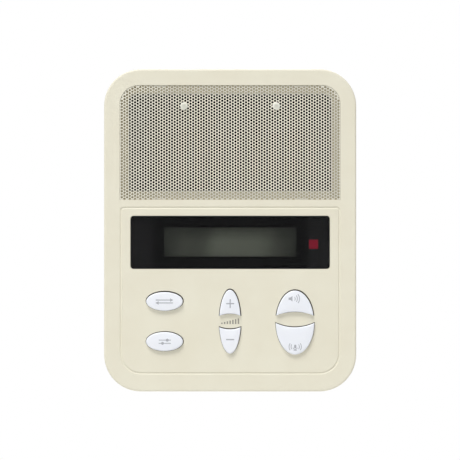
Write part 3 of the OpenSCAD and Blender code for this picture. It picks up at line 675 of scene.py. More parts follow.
@dataclass(frozen=True)
class FloorPaint(Finish):
    """Floor that runs into the white surround away from the panel, where it is seen or mirrored."""

    fade: Flat = (0.55, 1.4)

    def shade(self, recipe: Recipe) -> Socket:
        """Draws the paint and the white that it runs into.

        Args:
            recipe: Nodes to draw in.

        Returns:
            The shader.
        """
        paint = super().shade(recipe)
        flat = recipe.scaled((1.0, 1.0, 0.0))
        away = recipe.add("ShaderNodeVectorMath", {0: flat}, operation="LENGTH").outputs["Value"]
        share = recipe.calc("MULTIPLY", recipe.spread(away, reach=self.fade, soft=True), recipe.seen())
        white = recipe.add("ShaderNodeEmission", {"Color": WHITE}).outputs[0]
        return recipe.add("ShaderNodeMixShader", {0: share, 1: paint, 2: white}).outputs[0]


FINISHES: dict[Slot | Trim, Finish] = {
    Slot.PANEL: Finish((229, 225, 207), (226, 221, 202), rough=0.46, relief=0.008, soft_edge=0.35),
    Slot.GRILLE: Finish((236, 233, 218), (232, 228, 212), rough=0.42, grain=3200.0),
    Slot.CLOTH: Woven((9, 9, 9), (22, 21, 21), rough=0.9, relief=0.12, specular=0.1, pitch=0.5),
    Slot.MOUNT_SCREW: Finish((236, 236, 227), (231, 230, 219), rough=0.35, relief=0.003),
    Slot.WINDOW: Finish((14, 14, 15), (11, 11, 12), rough=0.04, swing=0.01, relief=0.0004, clear=0.88,
                        ior=1.49),
    # Lighter outside the display as painted reflection.
    Slot.MASK: Framed((27, 27, 28), (24, 24, 25), rough=0.6, specular=0.0),
    Slot.FOAM: Porous((30, 30, 31), (48, 48, 48), rough=0.95, relief=0.2, specular=0.1, pores=2600.0),
    Slot.BEZEL: Brushed((28, 28, 29), (42, 42, 43), rough=0.4, metallic=0.3, drawn=(0.06, 1.0, 1.0)),
    # The second colour is reached in the painted light over the middle and in the reflection band.
    Slot.LCD: Display((35, 38, 33), (92, 96, 86), rough=0.45, swing=0.04, patch=55.0, relief=0.004,
                      specular=0.12),
    Slot.STRIP: Striped((206, 128, 140), (232, 176, 182), rough=0.7, pitch=0.5),
    Slot.BACKLIGHT: Finish((222, 226, 218), (212, 217, 208), rough=0.5, scatter=0.2),
    Slot.BOARD: CircuitBoard((27, 86, 52), (38, 105, 63), patch=60.0, rough=0.38, relief=0.035, coat=0.2),
    Slot.STEEL: Brushed((186, 187, 188), (150, 151, 153), metallic=1.0, rough=0.3, drawn=(1.0, 0.06, 1.0)),
    Slot.RIBBON: Striped((176, 177, 178), (198, 199, 200), rough=0.5, pitch=1.27, relief=0.02),
    Slot.PIPE: Finish((139, 29, 49), (130, 24, 43), rough=0.5, specular=0.1),
    Slot.LED: Finish((228, 226, 214), (216, 212, 198), rough=0.4, scatter=0.1),
    Slot.KEY: Finish((238, 240, 246), (234, 237, 244), rough=0.36, relief=0.004, scatter=0.05,
                     soft_edge=0.15),
    Slot.MAT: Finish((150, 151, 152), (136, 137, 139), rough=0.7, relief=0.02),
    Slot.PILL: Porous((24, 24, 25), (46, 46, 47), rough=0.8, pores=3800.0),
    Slot.CHIP: Porous((38, 38, 40), (50, 50, 52), rough=0.6, pores=5000.0, relief=0.02),
    Slot.CAN: SleevedCan((24, 30, 66), (32, 40, 82), rough=0.35, coat=0.2),
    Slot.TERMINAL: Poled((48, 128, 84), (40, 114, 74), rough=0.5, relief=0.12, soft_edge=0.2),
    Slot.HEADER: Finish((232, 228, 216), (222, 217, 204), rough=0.5, soft_edge=0.2),
    Slot.FRAME: Brushed((176, 178, 178), (140, 143, 146), metallic=0.9, rough=0.36, drawn=(1.0, 1.0, 0.1),
                        soft_edge=0.2),
    Slot.SURROUND: Finish((26, 26, 27), (34, 34, 35), rough=0.65, relief=0.02),
    Slot.CONE: Porous((52, 50, 48), (74, 71, 67), rough=0.9, pores=2200.0, relief=0.06, specular=0.2),
    Slot.COIL: Striped((150, 84, 44), (196, 122, 70), metallic=0.8, rough=0.35, pitch=0.3, axis=Axis.Y),
    Slot.SPIDER: Woven((166, 128, 70), (198, 160, 98), rough=0.9, relief=0.15, pitch=0.7, specular=0.15),
    Slot.FERRITE: Porous((58, 59, 62), (78, 79, 82), rough=0.7, pores=2800.0, relief=0.03, soft_edge=0.5),
    Slot.TAG_BOARD: Finish((120, 76, 42), (98, 60, 32), rough=0.6, patch=320.0),
    Slot.TAG: Brushed((206, 176, 104), (180, 150, 84), metallic=1.0, rough=0.3),
    Slot.RED_LEAD: Finish((176, 28, 30), (160, 22, 26), rough=0.4, relief=0.004),
    Slot.BLACK_LEAD: Finish((28, 28, 29), (36, 36, 37), rough=0.4, relief=0.004),
    # Felt tape, its tan darkened as painted shade on the ledge behind the grille's holes.
    Trim.FELT_SHADE: Porous((190, 179, 147), (206, 195, 163), rough=0.95, relief=0.05, specular=0.1, pores=3000.0),
    # Painted shade inside the grille's holes.
    Trim.HOLE_SHADE: Finish((120, 113, 92), (104, 98, 78), rough=0.6, grain=4200.0),
    Trim.KEY_PRINT: Finish((176, 178, 184), (168, 170, 177), rough=0.5, grain=4200.0),
    # Painted shade for the gaps round the keys, on the keys' lower sides and flanges.
    Trim.KEY_GAP_SHADE: Finish((113, 102, 92), (100, 90, 81), rough=0.6, relief=0.01),
    Trim.PANEL_PRINT: Finish((151, 148, 139), (143, 140, 131), rough=0.5, grain=4200.0),
    Trim.BOARD_PRINT: Finish((222, 224, 216), (206, 209, 200), rough=0.7),
    Trim.TIN: Brushed((204, 205, 204), (172, 174, 174), metallic=1.0, rough=0.34),
    Trim.EPOXY: Finish((22, 22, 24), (30, 30, 32), rough=0.25, relief=0.03, patch=260.0),
}
FLOOR_PAINT = FloorPaint((243, 243, 241), (240, 240, 238), patch=6.0, rough=0.8)


def arc(centre: Flat, radii: Flat, ends: Flat, steps: int) -> list[Flat]:
    """Gives part of an ellipse.

    Args:
        centre: Its middle.
        radii: Half of its width and of its height.
        ends: First and last angle, in radians.
        steps: Lengths between its points.

    Returns:
        The points, both ends among them.
    """
    turns = [ends[0] + (ends[1] - ends[0]) * i / steps for i in range(steps + 1)]
    return [(centre[0] + radii[0] * math.cos(t), centre[1] + radii[1] * math.sin(t)) for t in turns]


def circle(centre: Flat, radius: float, sides: int) -> list[Flat]:
    """Gives a round outline of so many sides, turning left."""
    return arc(centre, (radius, radius), (0.0, math.tau), sides)[:-1]


def bar(start: Flat, end: Flat, width: float) -> list[Flat]:
    """Gives a straight stroke with round ends.

    Args:
        start: One end.
        end: The other end.
        width: Width of the stroke.

    Returns:
        Its outline, turning left.
    """
    turn, radii = math.atan2(end[1] - start[1], end[0] - start[0]), (width / 2, width / 2)
    return [*arc(end, radii, (turn - QUARTER, turn + QUARTER), BAR_STEPS),
            *arc(start, radii, (turn + QUARTER, turn + 3 * QUARTER), BAR_STEPS)]


def box(size: Flat, centre: Flat) -> list[Flat]:
    """Gives a box with square corners, turning left."""
    corners = ((1, 1), (-1, 1), (-1, -1), (1, -1))
    return [(centre[0] + side * size[0] / 2, centre[1] + up * size[1] / 2) for side, up in corners]


def rounded(size: Flat, corner: float, centre: Flat, steps: int = 8) -> list[Flat]:
    """Gives a box with four round corners.

    Args:
        size: Width and height.
        corner: Radius of the corners.
        centre: Middle of the box.
        steps: Lengths round each corner.

    Returns:
        The points, turning left.
    """
    points = []
    for quarter, middle in enumerate(box((size[0] - 2 * corner, size[1] - 2 * corner), centre)):
        points += arc(middle, (corner, corner), (quarter * QUARTER, (quarter + 1) * QUARTER), steps)
    return points


def arch(width: float, height: float, corner: float, middle: float, steps: int = 16) -> list[Flat]:
    """Gives an outline with round top corners and square lower ones.

    Args:
        width: Width of the outline.
        height: Its height.
        corner: Radius of the top corners.
        middle: Height of its middle.
        steps: Lengths round each corner.

    Returns:
        The points, turning left from the lower left corner.
    """
    half, foot, level = width / 2, middle - height / 2, middle + height / 2 - corner
    points = [(-half, foot), (half, foot)]
    for side, start in ((1, 0.0), (-1, QUARTER)):
        points += arc((side * (half - corner), level), (corner, corner), (start, start + QUARTER), steps)
    return points


def divided(outline: Sequence[Flat], longest: float = 0.8) -> list[Flat]:
    """Splits the long edges of an outline, so that it can follow a curved surface.

    Args:
        outline: Points of the outline.
        longest: Longest edge left.

    Returns:
        The outline with more points.
    """
    made: list[Flat] = []
    for start, end in zip(outline, [*outline[1:], outline[0]]):
        count = max(1, math.ceil(math.dist(start, end) / longest))
        made += [(start[0] + (end[0] - start[0]) * i / count, start[1] + (end[1] - start[1]) * i / count)
                 for i in range(count)]
    return made


def smooth(path: Sequence[Spot], steps: int = 6) -> list[Spot]:
    """Rounds a path through its points.

    Args:
        path: Points to pass through.
        steps: New points between each two.

    Returns:
        The rounded path.
    """
    line = [Vector(p) for p in path]
    made: list[Spot] = []
    for i in range(len(line) - 1):
        a, b, c, d = (line[min(max(i + k, 0), len(line) - 1)] for k in (-1, 0, 1, 2))
        for t in (step / steps for step in range(steps)):
            square = (2 * a - 5 * b + 4 * c - d) * t ** 2
            cube = (3 * b - a - 3 * c + d) * t ** 3
            made.append(tuple(0.5 * (2 * b + (c - a) * t + square + cube)))
    return [*made, tuple(line[-1])]


def net(loops: Sequence[Sequence[Flat]], loose: Sequence[Flat] = ()) -> Net:
    """Fills outlines with triangles.

    Args:
        loops: Closed outlines, the outer one first.
        loose: Further points to use.

    Returns:
        The points, the triangles, and the number of each point's outline.
    """
    flat, edges, owner = [], [], []
    for number, loop in enumerate(loops):
        start, size = len(flat), len(loop)
        flat += loop
        owner += [number] * size
        edges += [(start + i, start + (i + 1) % size) for i in range(size)]
    owner += [0] * len(loose)
    points = [Vector(p) for p in (*flat, *loose)]
    spots, _, faces, origin, _, _ = delaunay_2d_cdt(points, edges, [], 1, NET_FINE)
    return [(p.x, p.y) for p in spots], faces, [owner[first[0]] if first else 0 for first in origin]


def link(name: str, data: bpy.types.ID) -> bpy.types.Object:
    """Puts an object into the scene.

    Args:
        name: Name of the object.
        data: Its mesh, lamp or camera.

    Returns:
        The object.
    """
    made = bpy.data.objects.new(name, data)
    bpy.context.scene.collection.objects.link(made)
    return made


@dataclass
class Solid:
    """Points and faces of one piece, in millimetres, gathered before its mesh is made."""

    points: list[Spot] = field(default_factory=list)
    faces: list[tuple[int, ...]] = field(default_factory=list)

    def add(self, points: Iterable[Spot], faces: Iterable[Sequence[int]]) -> Solid:
        """Adds points and the faces between them.

        Args:
            points: New points.
            faces: Faces, counted from the first new point.

        Returns:
            This solid.
        """
        base = len(self.points)
        self.points.extend(points)
        self.faces.extend(tuple(base + i for i in face) for face in faces)
        return self

    def thicken(self, flat: Sequence[Flat], faces: Sequence[Sequence[int]],
                level: Callable[[float, float], Flat]) -> Solid:
        """Makes a closed plate out of a flat net.

        Args:
            flat: Points of the net.
            faces: Its faces, all turning one way.
            level: Gives the lower and upper z over a point.

        Returns:
            This solid.
        """
        count = len(flat)
        levels = [level(x, y) for x, y in flat]
        points = [(p[0], p[1], z[side]) for side in (0, 1) for p, z in zip(flat, levels)]
        edges = {(a, b) for face in faces for a, b in zip(face, [*face[1:], face[0]])}
        made = [tuple(reversed(face)) for face in faces]
        made += [tuple(i + count for i in face) for face in faces]
        made += [(a, b, b + count, a + count) for a, b in sorted(edges) if (b, a) not in edges]
        return self.add(points, made)

    def plate(self, outline: Sequence[Flat], low: float, high: float,
              holes: Sequence[Sequence[Flat]] = ()) -> Solid:
        """Adds a flat plate with round or cornered holes.

        Args:
            outline: Outer edge.
            low: Lower z.
            high: Upper z.
            holes: Edges of the holes, each convex.

        Returns:
            This solid.
        """
        flat, faces, home = net((outline, *holes))
        kept = [f for f in faces if not (home[f[0]] and home[f[0]] == home[f[1]] == home[f[2]])]
        return self.thicken(flat, kept, lambda x, y: (low, high))

    def lathe(self, profile: Sequence[Flat], centre: Flat, steps: int = 96) -> Solid:
        """Turns a closed profile about an axis along z.

        Args:
            profile: Radius and z of each point, in order round the section.
            centre: Place of the axis.
            steps: Points round the axis.

        Returns:
            This solid.
        """
        count = len(profile)
        turns = [math.tau * i / steps for i in range(steps)]
        points = [(centre[0] + r * math.cos(t), centre[1] + r * math.sin(t), z)
                  for t in turns for r, z in profile]
        faces = [(i * count + k, (i + 1) % steps * count + k,
                  (i + 1) % steps * count + (k + 1) % count, i * count + (k + 1) % count)
                 for i in range(steps) for k in range(count)]
        return self.add(points, faces)

    def drop(self, at: Spot, size: Flat, rings: int, sides: int, bulge: float = 1.0) -> Solid:
        """Adds a drop that hangs from a surface towards the wall.

        Args:
            at: Middle of its foot.
            size: Its radius and its height.
            rings: Rings from its foot to its tip.
            sides: Points round it.
            bulge: Power of its section, fuller below 1.

        Returns:
            This solid.
        """
        turns = [QUARTER * (rings - i) / rings for i in range(rings + 1)]
        section = [(size[0] * math.sin(t), at[2] - size[1] * math.cos(t) ** bulge) for t in turns]
        return self.lathe([(0.0, at[2]), *section], (at[0], at[1]), sides)

    def loft(self, rings: Sequence[Sequence[Spot]], foot: Spot | None, peak: Spot) -> Solid:
        """Skins a stack of rings and closes its ends with fans.

        Args:
            rings: Rings of equal length.
            foot: Middle of the first end, or None to leave that end open.
            peak: Middle of the last end.

        Returns:
            This solid.
        """
        size, last = len(rings[0]), len(rings) - 1
        low, high = (last + 1) * size, (last + 1) * size + 1
        faces: list[tuple[int, ...]] = []
        for i in range(size):
            j = (i + 1) % size
            if foot:
                faces.append((low, j, i))
            faces += [(k * size + i, k * size + j, (k + 1) * size + j, (k + 1) * size + i)
                      for k in range(last)]
            faces.append((high, last * size + i, last * size + j))
        return self.add([*(p for ring in rings for p in ring), foot or peak, peak], faces)

    def tube(self, path: Sequence[Spot], radius: float, sides: int = 16) -> Solid:
        """Adds a round tube along a path.

        Args:
            path: Points of its middle line.
            radius: Radius of the tube.
            sides: Points round it.

        Returns:
            This solid.
        """
        line = [Vector(p) for p in path]
        rings = []
        side = Vector((0.0, 0.0, 1.0))
        for i, spot in enumerate(line):
            run = (line[min(i + 1, len(line) - 1)] - line[max(i - 1, 0)]).normalized()
            side = (side - run * side.dot(run)).normalized()
            other = run.cross(side)
            rings.append([tuple(spot + u * side + v * other) for u, v in circle((0.0, 0.0), radius, sides)])
        return self.loft(rings, tuple(line[0]), tuple(line[-1]))

    def block(self, low: Spot, high: Spot, cut: float = 0.1) -> Solid:
        """Adds a block with chamfered edges.

        Args:
            low: Lowest corner.
            high: Highest corner.
            cut: Width of the chamfers.

        Returns:
            This solid.
        """
        def ring(inset: float, z: float) -> list[Spot]:
            """Gives the block's eight-cornered outline at a height."""
            x0, y0, x1, y1 = low[0] + inset, low[1] + inset, high[0] - inset, high[1] - inset
            return [(x0 + cut, y0, z), (x1 - cut, y0, z), (x1, y0 + cut, z), (x1, y1 - cut, z),
                    (x1 - cut, y1, z), (x0 + cut, y1, z), (x0, y1 - cut, z), (x0, y0 + cut, z)]

        middle = ((low[0] + high[0]) / 2, (low[1] + high[1]) / 2)
        rings = [ring(cut, low[2]), ring(0.0, low[2] + cut), ring(0.0, high[2] - cut), ring(cut, high[2])]
        return self.loft(rings, (*middle, low[2]), (*middle, high[2]))

    def piece(self, name: str, crease: float = 35.0) -> bpy.types.Object:
        """Makes the Blender object.

        Args:
            name: Name of the piece.
            crease: Angle in degrees from which an edge stays sharp.

        Returns:
            The object, in the frame's metres.
        """
        mesh = bpy.data.meshes.new(name)
        mesh.from_pydata([(x * MM, -z * MM, y * MM) for x, y, z in self.points], [], self.faces)
        work = bmesh.new()
        work.from_mesh(mesh)
        bmesh.ops.remove_doubles(work, verts=work.verts, dist=MERGE_WITHIN)
        bmesh.ops.dissolve_degenerate(work, edges=work.edges, dist=LEAST_EDGE)
        bmesh.ops.recalc_face_normals(work, faces=work.faces)
        work.to_mesh(mesh)
        work.free()
        mesh.shade_smooth()
        mesh.set_sharp_from_angle(angle=math.radians(crease))
        return link(name, mesh)


class Workshop:
    """Keeps the materials and seats each piece on its body."""

    def __init__(self, frame: dict) -> None:
        """Takes the loaded frame.

        Args:
            frame: Bodies, nodes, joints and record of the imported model.
        """
        self.frame = frame
        self.coats: dict[Slot | Trim, bpy.types.Material] = {}
        self.count = 0

    def coat(self, look: Slot | Trim) -> bpy.types.Material:
        """Gives a finish's material, made once.

        Args:
            look: Slot or trim that names the finish.

        Returns:
            The material.
        """
        if look not in self.coats:
            self.coats[look] = FINISHES[look].material(look.value)
        return self.coats[look]

    def dress(self) -> None:
        """Gives every CAD node the finish of its record's slot."""
        for part in self.frame["record"]["subparts"]:
            node = self.frame["nodes"][part["node"]]
            node.data.materials.clear()
            node.data.materials.append(self.coat(Slot(part["material_slot"])))

    def seat(self, piece: bpy.types.Object, slot: Slot, stands_for: Sequence[str] = (),
             trim: Trim | None = None, body: Body = Body.STATION) -> bpy.types.Object:
        """Dresses a new piece and sets it on its body.

        Args:
            piece: The new piece, in place.
            slot: Record slot that it belongs to.
            stands_for: CAD nodes that it replaces.
            trim: A finish of its own, instead of the slot's.
            body: Body that carries it.

        Returns:
            The piece.
        """
        piece.data.materials.append(self.coat(trim or slot))
        if stands_for:
            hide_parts(*stands_for)
        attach(piece, body.value)
        self.count += 1
        LOG.info("piece %s rides on %s, %d faces", piece.name, body.value, len(piece.data.polygons))
        return piece

    def paint(self, piece: bpy.types.Object, look: Slot | Trim,
              where: Callable[[bpy.types.MeshPolygon], bool]) -> None:
        """Gives some faces of a seated piece a second finish.

        Args:
            piece: The seated piece.
            look: The second finish.
            where: Tells whether a face takes it.
        """
        piece.data.materials.append(self.coat(look))
        for face in piece.data.polygons:
            face.material_index = int(where(face))
# Builds and seats one lead.


@dataclass
class WallScrews:
    """Two screws through the grille, with domed heads, a cross recess and a thread."""

    x: float = 30.15
    y: float = 81.3
    hole: float = 1.8
    seat: float = 11.7
    sides: int = 48
    head_radius: float = 2.45
    head_high: float = 1.3
    head_edge: float = 0.5
    head_power: float = 0.4
    head_rings: int = 14
    head_closed: float = 1e-5
    painted_below: float = 0.05
    turn: float = 0.5
    cross: Flat = (1.5, 0.36)
    cross_taper: Flat = (0.12, 0.09)
    cross_deep: float = 0.8
    cross_step: float = 0.2
    cross_clear: float = 0.06
    shank: float = 1.75
    neck: float = -0.05
    thread: float = 1.5
    core: float = 1.2
    pitch: float = 0.8
    pitch_steps: int = 8
    flank: float = 0.36
    thread_from: float = -0.4
    thread_end: float = -12.4
    run_in: Flat = (0.3, 0.8)
    run_out: Flat = (0.1, 0.8)
    tip: Flat = (0.35, 0.25)
    tail: float = -14.0
    crease: float = 40.0

    def centres(self) -> list[Flat]:
        """Lists the axes of the two screws."""
        return [(-self.x, self.y), (self.x, self.y)]

    def recess(self, arm: float, half: float, turn: float) -> list[Flat]:
        """Gives the outline of the cross recess.

        Args:
            arm: Reach of its arms.
            half: Half of their width.
            turn: How far it is turned, in radians.

        Returns:
            The points, about the screw's axis.
        """
        corners = []
        for swing in (turn + quarter * QUARTER for quarter in range(4)):
            for u, v in ((arm, -half), (arm, half), (half, half)):
                corners.append((u * math.cos(swing) - v * math.sin(swing),
                                u * math.sin(swing) + v * math.cos(swing)))
        return divided(corners, self.cross_step)

    def dome(self, x: float, y: float) -> float:
        """Gives the height of the head at a place about its axis.

        Args:
            x: Place across the head.
            y: Place up the head.

        Returns:
            The z of its surface.
        """
        share = min(1.0, math.hypot(x, y) / self.head_radius + self.head_closed)
        rise = (self.head_high - self.head_edge) * (1 - share * share) ** self.head_power
        return self.seat + self.head_edge + rise

    def add_head(self, solid: Solid, centre: Flat, turn: float) -> None:
        """Adds the domed top of a screw's head, with its cross recess.

        Args:
            solid: Solid to add to.
            centre: Axis of the screw.
            turn: How far the recess is turned, in radians.
        """
        arm, half = self.cross
        loops = [circle((0.0, 0.0), self.head_radius, self.sides), self.recess(arm, half, turn),
                 self.recess(arm - self.cross_taper[0], half - self.cross_taper[1], turn)]
        loose = []
        for ring in range(1, self.head_rings):
            radius = self.head_radius * math.sin(QUARTER * ring / self.head_rings)
            for x, y in circle((0.0, 0.0), radius, self.sides):
                u = abs(x * math.cos(turn) + y * math.sin(turn))
                v = abs(y * math.cos(turn) - x * math.sin(turn))
                if max(min(u, v) - half, max(u, v) - arm) > self.cross_clear:
                    loose.append((x, y))
        flat, faces, home = net(loops, loose)
        depths = [self.cross_deep if loop == len(loops) - 1 else 0.0 for loop in home]
        solid.add([(centre[0] + x, centre[1] + y, self.dome(x, y) - deep)
                   for (x, y), deep in zip(flat, depths)], faces)

    def ring(self, centre: Flat, radius: float, z: float) -> list[Spot]:
        """Gives a plain ring round a screw's axis."""
        return [(x, y, z) for x, y in circle(centre, radius, self.sides)]

    def thread_ring(self, centre: Flat, z: float) -> list[Spot]:
        """Gives one ring of the thread.

        Args:
            centre: Axis of the screw.
            z: Height of the ring.

        Returns:
            The points of the ring.
        """
        start = (-z - self.run_in[0]) / self.run_in[1]
        end = (z - self.thread_end) / self.run_out[1] + self.run_out[0]
        rise = (self.thread - self.core) * min(1.0, start, end)
        made = []
        for turn in (math.tau * i / self.sides for i in range(self.sides)):
            phase = (z / self.pitch - turn / math.tau) % 1.0
            radius = self.core + rise * max(0.0, 1.0 - abs(phase - 0.5) / self.flank)
            made.append((centre[0] + radius * math.cos(turn), centre[1] + radius * math.sin(turn), z))
        return made

    def build_screws(self) -> bpy.types.Object:
        """Makes the two screws, each one closed skin from its head to the tip of its thread.

        Returns:
            The piece.
        """
        solid = Solid()
        run = self.thread_end - self.thread_from
        steps = int(-run / self.pitch * self.pitch_steps)
        head = [(self.head_radius, self.seat + self.head_edge), (self.head_radius, self.seat),
                (self.shank, self.seat), (self.shank, 0.0), (self.core, self.neck)]
        for centre, side in zip(self.centres(), (-1, 1)):
            self.add_head(solid, centre, self.turn * side)
            rings = [self.ring(centre, radius, z) for radius, z in head]
            rings += [self.thread_ring(centre, self.thread_from + run * k / steps) for k in range(steps + 1)]
            rings.append(self.ring(centre, self.tip[0], self.tail + self.tip[1]))
            solid.loft(rings, None, (*centre, self.tail))
        return solid.piece("wall_screws", self.crease)

    def build(self, shop: Workshop) -> None:
        """Builds and seats the screws, painted on their heads and bare behind them.

        Args:
            shop: Where pieces are seated.
        """
        screws = shop.seat(self.build_screws(), Slot.MOUNT_SCREW, ["mounting_screws"])
        bare = (self.seat - self.painted_below) * MM
        shop.paint(screws, Slot.STEEL, lambda face: -face.center.y < bare)


@dataclass
class Grille:
    """Perforated sheet with bent lugs, the tape and cloth behind it, and the screws through it. The tape's
    darker tan is partly painted shade, seen through the holes.
    """

    width: float = 144.0
    height: float = 74.6
    middle: float = 57.45
    corner: float = 12.0
    front: float = 11.7
    back: float = 11.02
    column_step: float = 1.728
    hole_step: float = 1.972
    first_hole: float = 0.93
    hole_radius: float = 0.78
    least_hole: float = 0.3
    hole_sides: int = 12
    margin: float = 0.08
    cut_row: float = 0.52
    cut_steps: int = 8
    side_room: float = 1.2
    corner_room: float = 1.0
    wall_lean: float = 0.1
    screw_clear: float = 0.1
    screw_sides: int = 24
    sheet: float = 0.8
    lug_width: float = 8.0
    lug_reach: float = 3.4
    lug_foot: float = 8.05
    lug_x: float = 46.0
    lug_press: float = 0.25
    lug_slant: float = 0.6
    lug_bend: float = 0.5
    lug_cut: float = 0.1
    tape_levels: Flat = (10.6, 11.0)
    tape_over: float = 0.12
    tape_inner: float = 1.0
    cloth: Flat = (132.0, 63.4)
    cloth_corner: float = 4.5
    cloth_steps: int = 8
    cloth_levels: Flat = (10.15, 10.55)
    crease: float = 30.0
    screws: WallScrews = field(default_factory=WallScrews)

    def from_screw(self, x: float, y: float) -> float:
        """Gives the room between a place and the nearer screw's hole."""
        return math.hypot(abs(x) - self.screws.x, y - self.screws.y) - self.screws.hole

    def hole_at(self, x: float, y: float) -> float:
        """Gives the radius of the hole at a place: full, smaller by the edge and the screws, or none.

        Args:
            x: Place across the sheet.
            y: Place up the wall.

        Returns:
            The radius, 0 where no hole is punched.
        """
        across, up = abs(x), y - self.middle
        if up + self.height / 2 < self.cut_row:
            return 0.0
        room = min(self.width / 2 - across, self.height / 2 - abs(up), self.from_screw(x, y))
        round_x, round_y = self.width / 2 - self.corner, self.height / 2 - self.corner
        if across > round_x and up > round_y:
            room = min(room, self.corner - math.hypot(across - round_x, up - round_y))
        radius = min(self.hole_radius, room - self.margin)
        return radius if radius >= self.least_hole else 0.0

    def holes(self) -> list[list[Flat]]:
        """Lists the outlines of the holes, in columns that step up by half a hole.

        Returns:
            The outlines.
        """
        columns = int(self.width / 2 / self.column_step) + 1
        rows = int((self.middle + self.height / 2) / self.hole_step) + 1
        made = []
        for column in range(-columns, columns + 1):
            lift = self.first_hole - (self.hole_step / 2 if column % 2 else 0.0)
            for row in range(rows + 1):
                at = (column * self.column_step, lift + row * self.hole_step)
                radius = self.hole_at(*at)
                if radius:
                    made.append(circle(at, radius, self.hole_sides))
        return made

    def notch(self, at: Flat, edge: float) -> list[Flat]:
        """Gives what is left of a hole that the sheet's foot or top cuts through.

        Args:
            at: Middle of the hole.
            edge: Height of the cut.

        Returns:
            The points, turning right.
        """
        lean = math.asin((edge - at[1]) / self.hole_radius)
        ends = (math.pi - lean, lean) if edge < self.middle else (lean, -math.pi - lean)
        return arc(at, (self.hole_radius, self.hole_radius), ends, self.cut_steps)

    def outline(self) -> list[Flat]:
        """Gives the edge of the sheet, cut through every second column of holes at its foot and its top.

        Returns:
            The points, turning left.
        """
        foot, top = self.middle - self.height / 2, self.middle + self.height / 2
        lift = self.first_hole - self.hole_step / 2
        low = self.first_hole + self.hole_step * math.ceil((foot - self.first_hole) / self.hole_step)
        high = lift + self.hole_step * math.floor((top - lift) / self.hole_step)
        points = arch(self.width, self.height, self.corner, self.middle)
        count, split = int((self.width / 2 - self.side_room) / self.column_step), len(points) // 2 + 1
        reach = self.width / 2 - self.corner - self.corner_room
        columns = [(i, i * self.column_step) for i in range(-count, count + 1)]
        made = points[:1]
        for i, x in columns:
            made += [] if i % 2 else self.notch((x, low), foot)
        made += points[1:split]
        for i, x in reversed(columns):
            made += self.notch((x, high), top) if i % 2 and abs(x) < reach else []
        return made + points[split:]

    def screw_holes(self) -> list[list[Flat]]:
        """Lists the outlines of the two screw holes."""
        return [circle(at, self.screws.hole, self.screw_sides) for at in self.screws.centres()]

    def add_lug(self, solid: Solid, at: Flat, out: Flat) -> None:
        """Adds a lug that is bent back through the panel and clenched behind it.

        Args:
            solid: Solid to add to.
            at: Middle of the lug on the sheet's edge.
            out: Direction out of the edge.
        """
        low, high, slant = self.lug_foot, self.back, self.back - self.lug_slant
        outer, inner, reach = self.lug_press, self.lug_press - self.sheet, -self.lug_reach
        shelf, bend, cut = low + self.sheet, self.lug_bend, self.lug_cut
        profile = [(0.0, high), (outer, slant), (outer, low + bend), (outer - bend, low), (reach, low),
                   (reach, shelf), (inner - cut, shelf), (inner, shelf + cut), (inner, slant),
                   (-self.sheet, high)]
        points = [(at[0] + out[0] * u - out[1] * w, at[1] + out[1] * u + out[0] * w, z)
                  for w in (-self.lug_width / 2, self.lug_width / 2) for u, z in profile]
        size = len(profile)
        faces = [(i, (i + 1) % size, size + (i + 1) % size, size + i) for i in range(size)]
        solid.add(points, [*faces, range(size), range(2 * size - 1, size - 1, -1)])

    def build_sheet(self) -> bpy.types.Object:
        """Makes the perforated sheet with its lugs.

        Returns:
            The piece.
        """
        solid = Solid().plate(self.outline(), self.back, self.front, [*self.screw_holes(), *self.holes()])
        top, foot = self.middle + self.height / 2, self.middle - self.height / 2
        for side in (-1, 1):
            self.add_lug(solid, (side * self.lug_x, top), (0.0, 1.0))
            self.add_lug(solid, (side * self.lug_x, foot), (0.0, -1.0))
            self.add_lug(solid, (side * self.width / 2, self.middle), (float(side), 0.0))
        return solid.piece("perforated_sheet", self.crease)

    def is_hole_wall(self, face: bpy.types.MeshPolygon) -> bool:
        """Tells whether a face of the sheet is the wall of a small hole, which is painted darker as shade.

        Args:
            face: Face of the seated sheet.

        Returns:
            True inside the sheet's edge and clear of the screws.
        """
        x, y, z = face.center.x / MM, face.center.z / MM, -face.center.y / MM
        edge = self.margin / 3
        on_sheet = abs(x) < self.width / 2 - edge and abs(y - self.middle) < self.height / 2 - edge
        upright = abs(face.normal.y) <= self.wall_lean
        return upright and on_sheet and z > self.back and self.from_screw(x, y) > self.screw_clear

    def build_tape(self) -> bpy.types.Object:
        """Makes the felt tape on the panel's ledge that keeps the sheet from rattling; its darker tan is
        also painted shade on the ledge seen through the holes.

        Returns:
            The piece.
        """
        over, room = self.tape_over, self.tape_inner
        outline = arch(self.width + 2 * over, self.height + 2 * over, self.corner + over, self.middle)
        opening = (self.cloth[0] + room, self.cloth[1] + room)
        inner = arch(*opening, self.cloth_corner, self.middle, self.cloth_steps)
        return Solid().plate(outline, *self.tape_levels, [inner]).piece("grille_tape_shade")

    def build_cloth(self) -> bpy.types.Object:
        """Makes the cloth, stretched flat behind the sheet."""
        outline = arch(*self.cloth, self.cloth_corner, self.middle, self.cloth_steps)
        return Solid().plate(outline, *self.cloth_levels, self.screw_holes()).piece("acoustic_cloth")

    def build(self, shop: Workshop) -> None:
        """Builds and seats the sheet, the tape, the cloth and the screws.

        Args:
            shop: Where pieces are seated.
        """
        sheet = shop.seat(self.build_sheet(), Slot.GRILLE, ["speaker_grille"])
        # The hole walls take a darker tan as painted shade inside the holes.
        shop.paint(sheet, Trim.HOLE_SHADE, self.is_hole_wall)
        # The felt tape's tan stands partly for shade on the ledge behind the holes.
        shop.seat(self.build_tape(), Slot.GRILLE, trim=Trim.FELT_SHADE)
        cloth = shop.seat(self.build_cloth(), Slot.CLOTH, ["grille_cloth"])
        self.screws.build(shop)


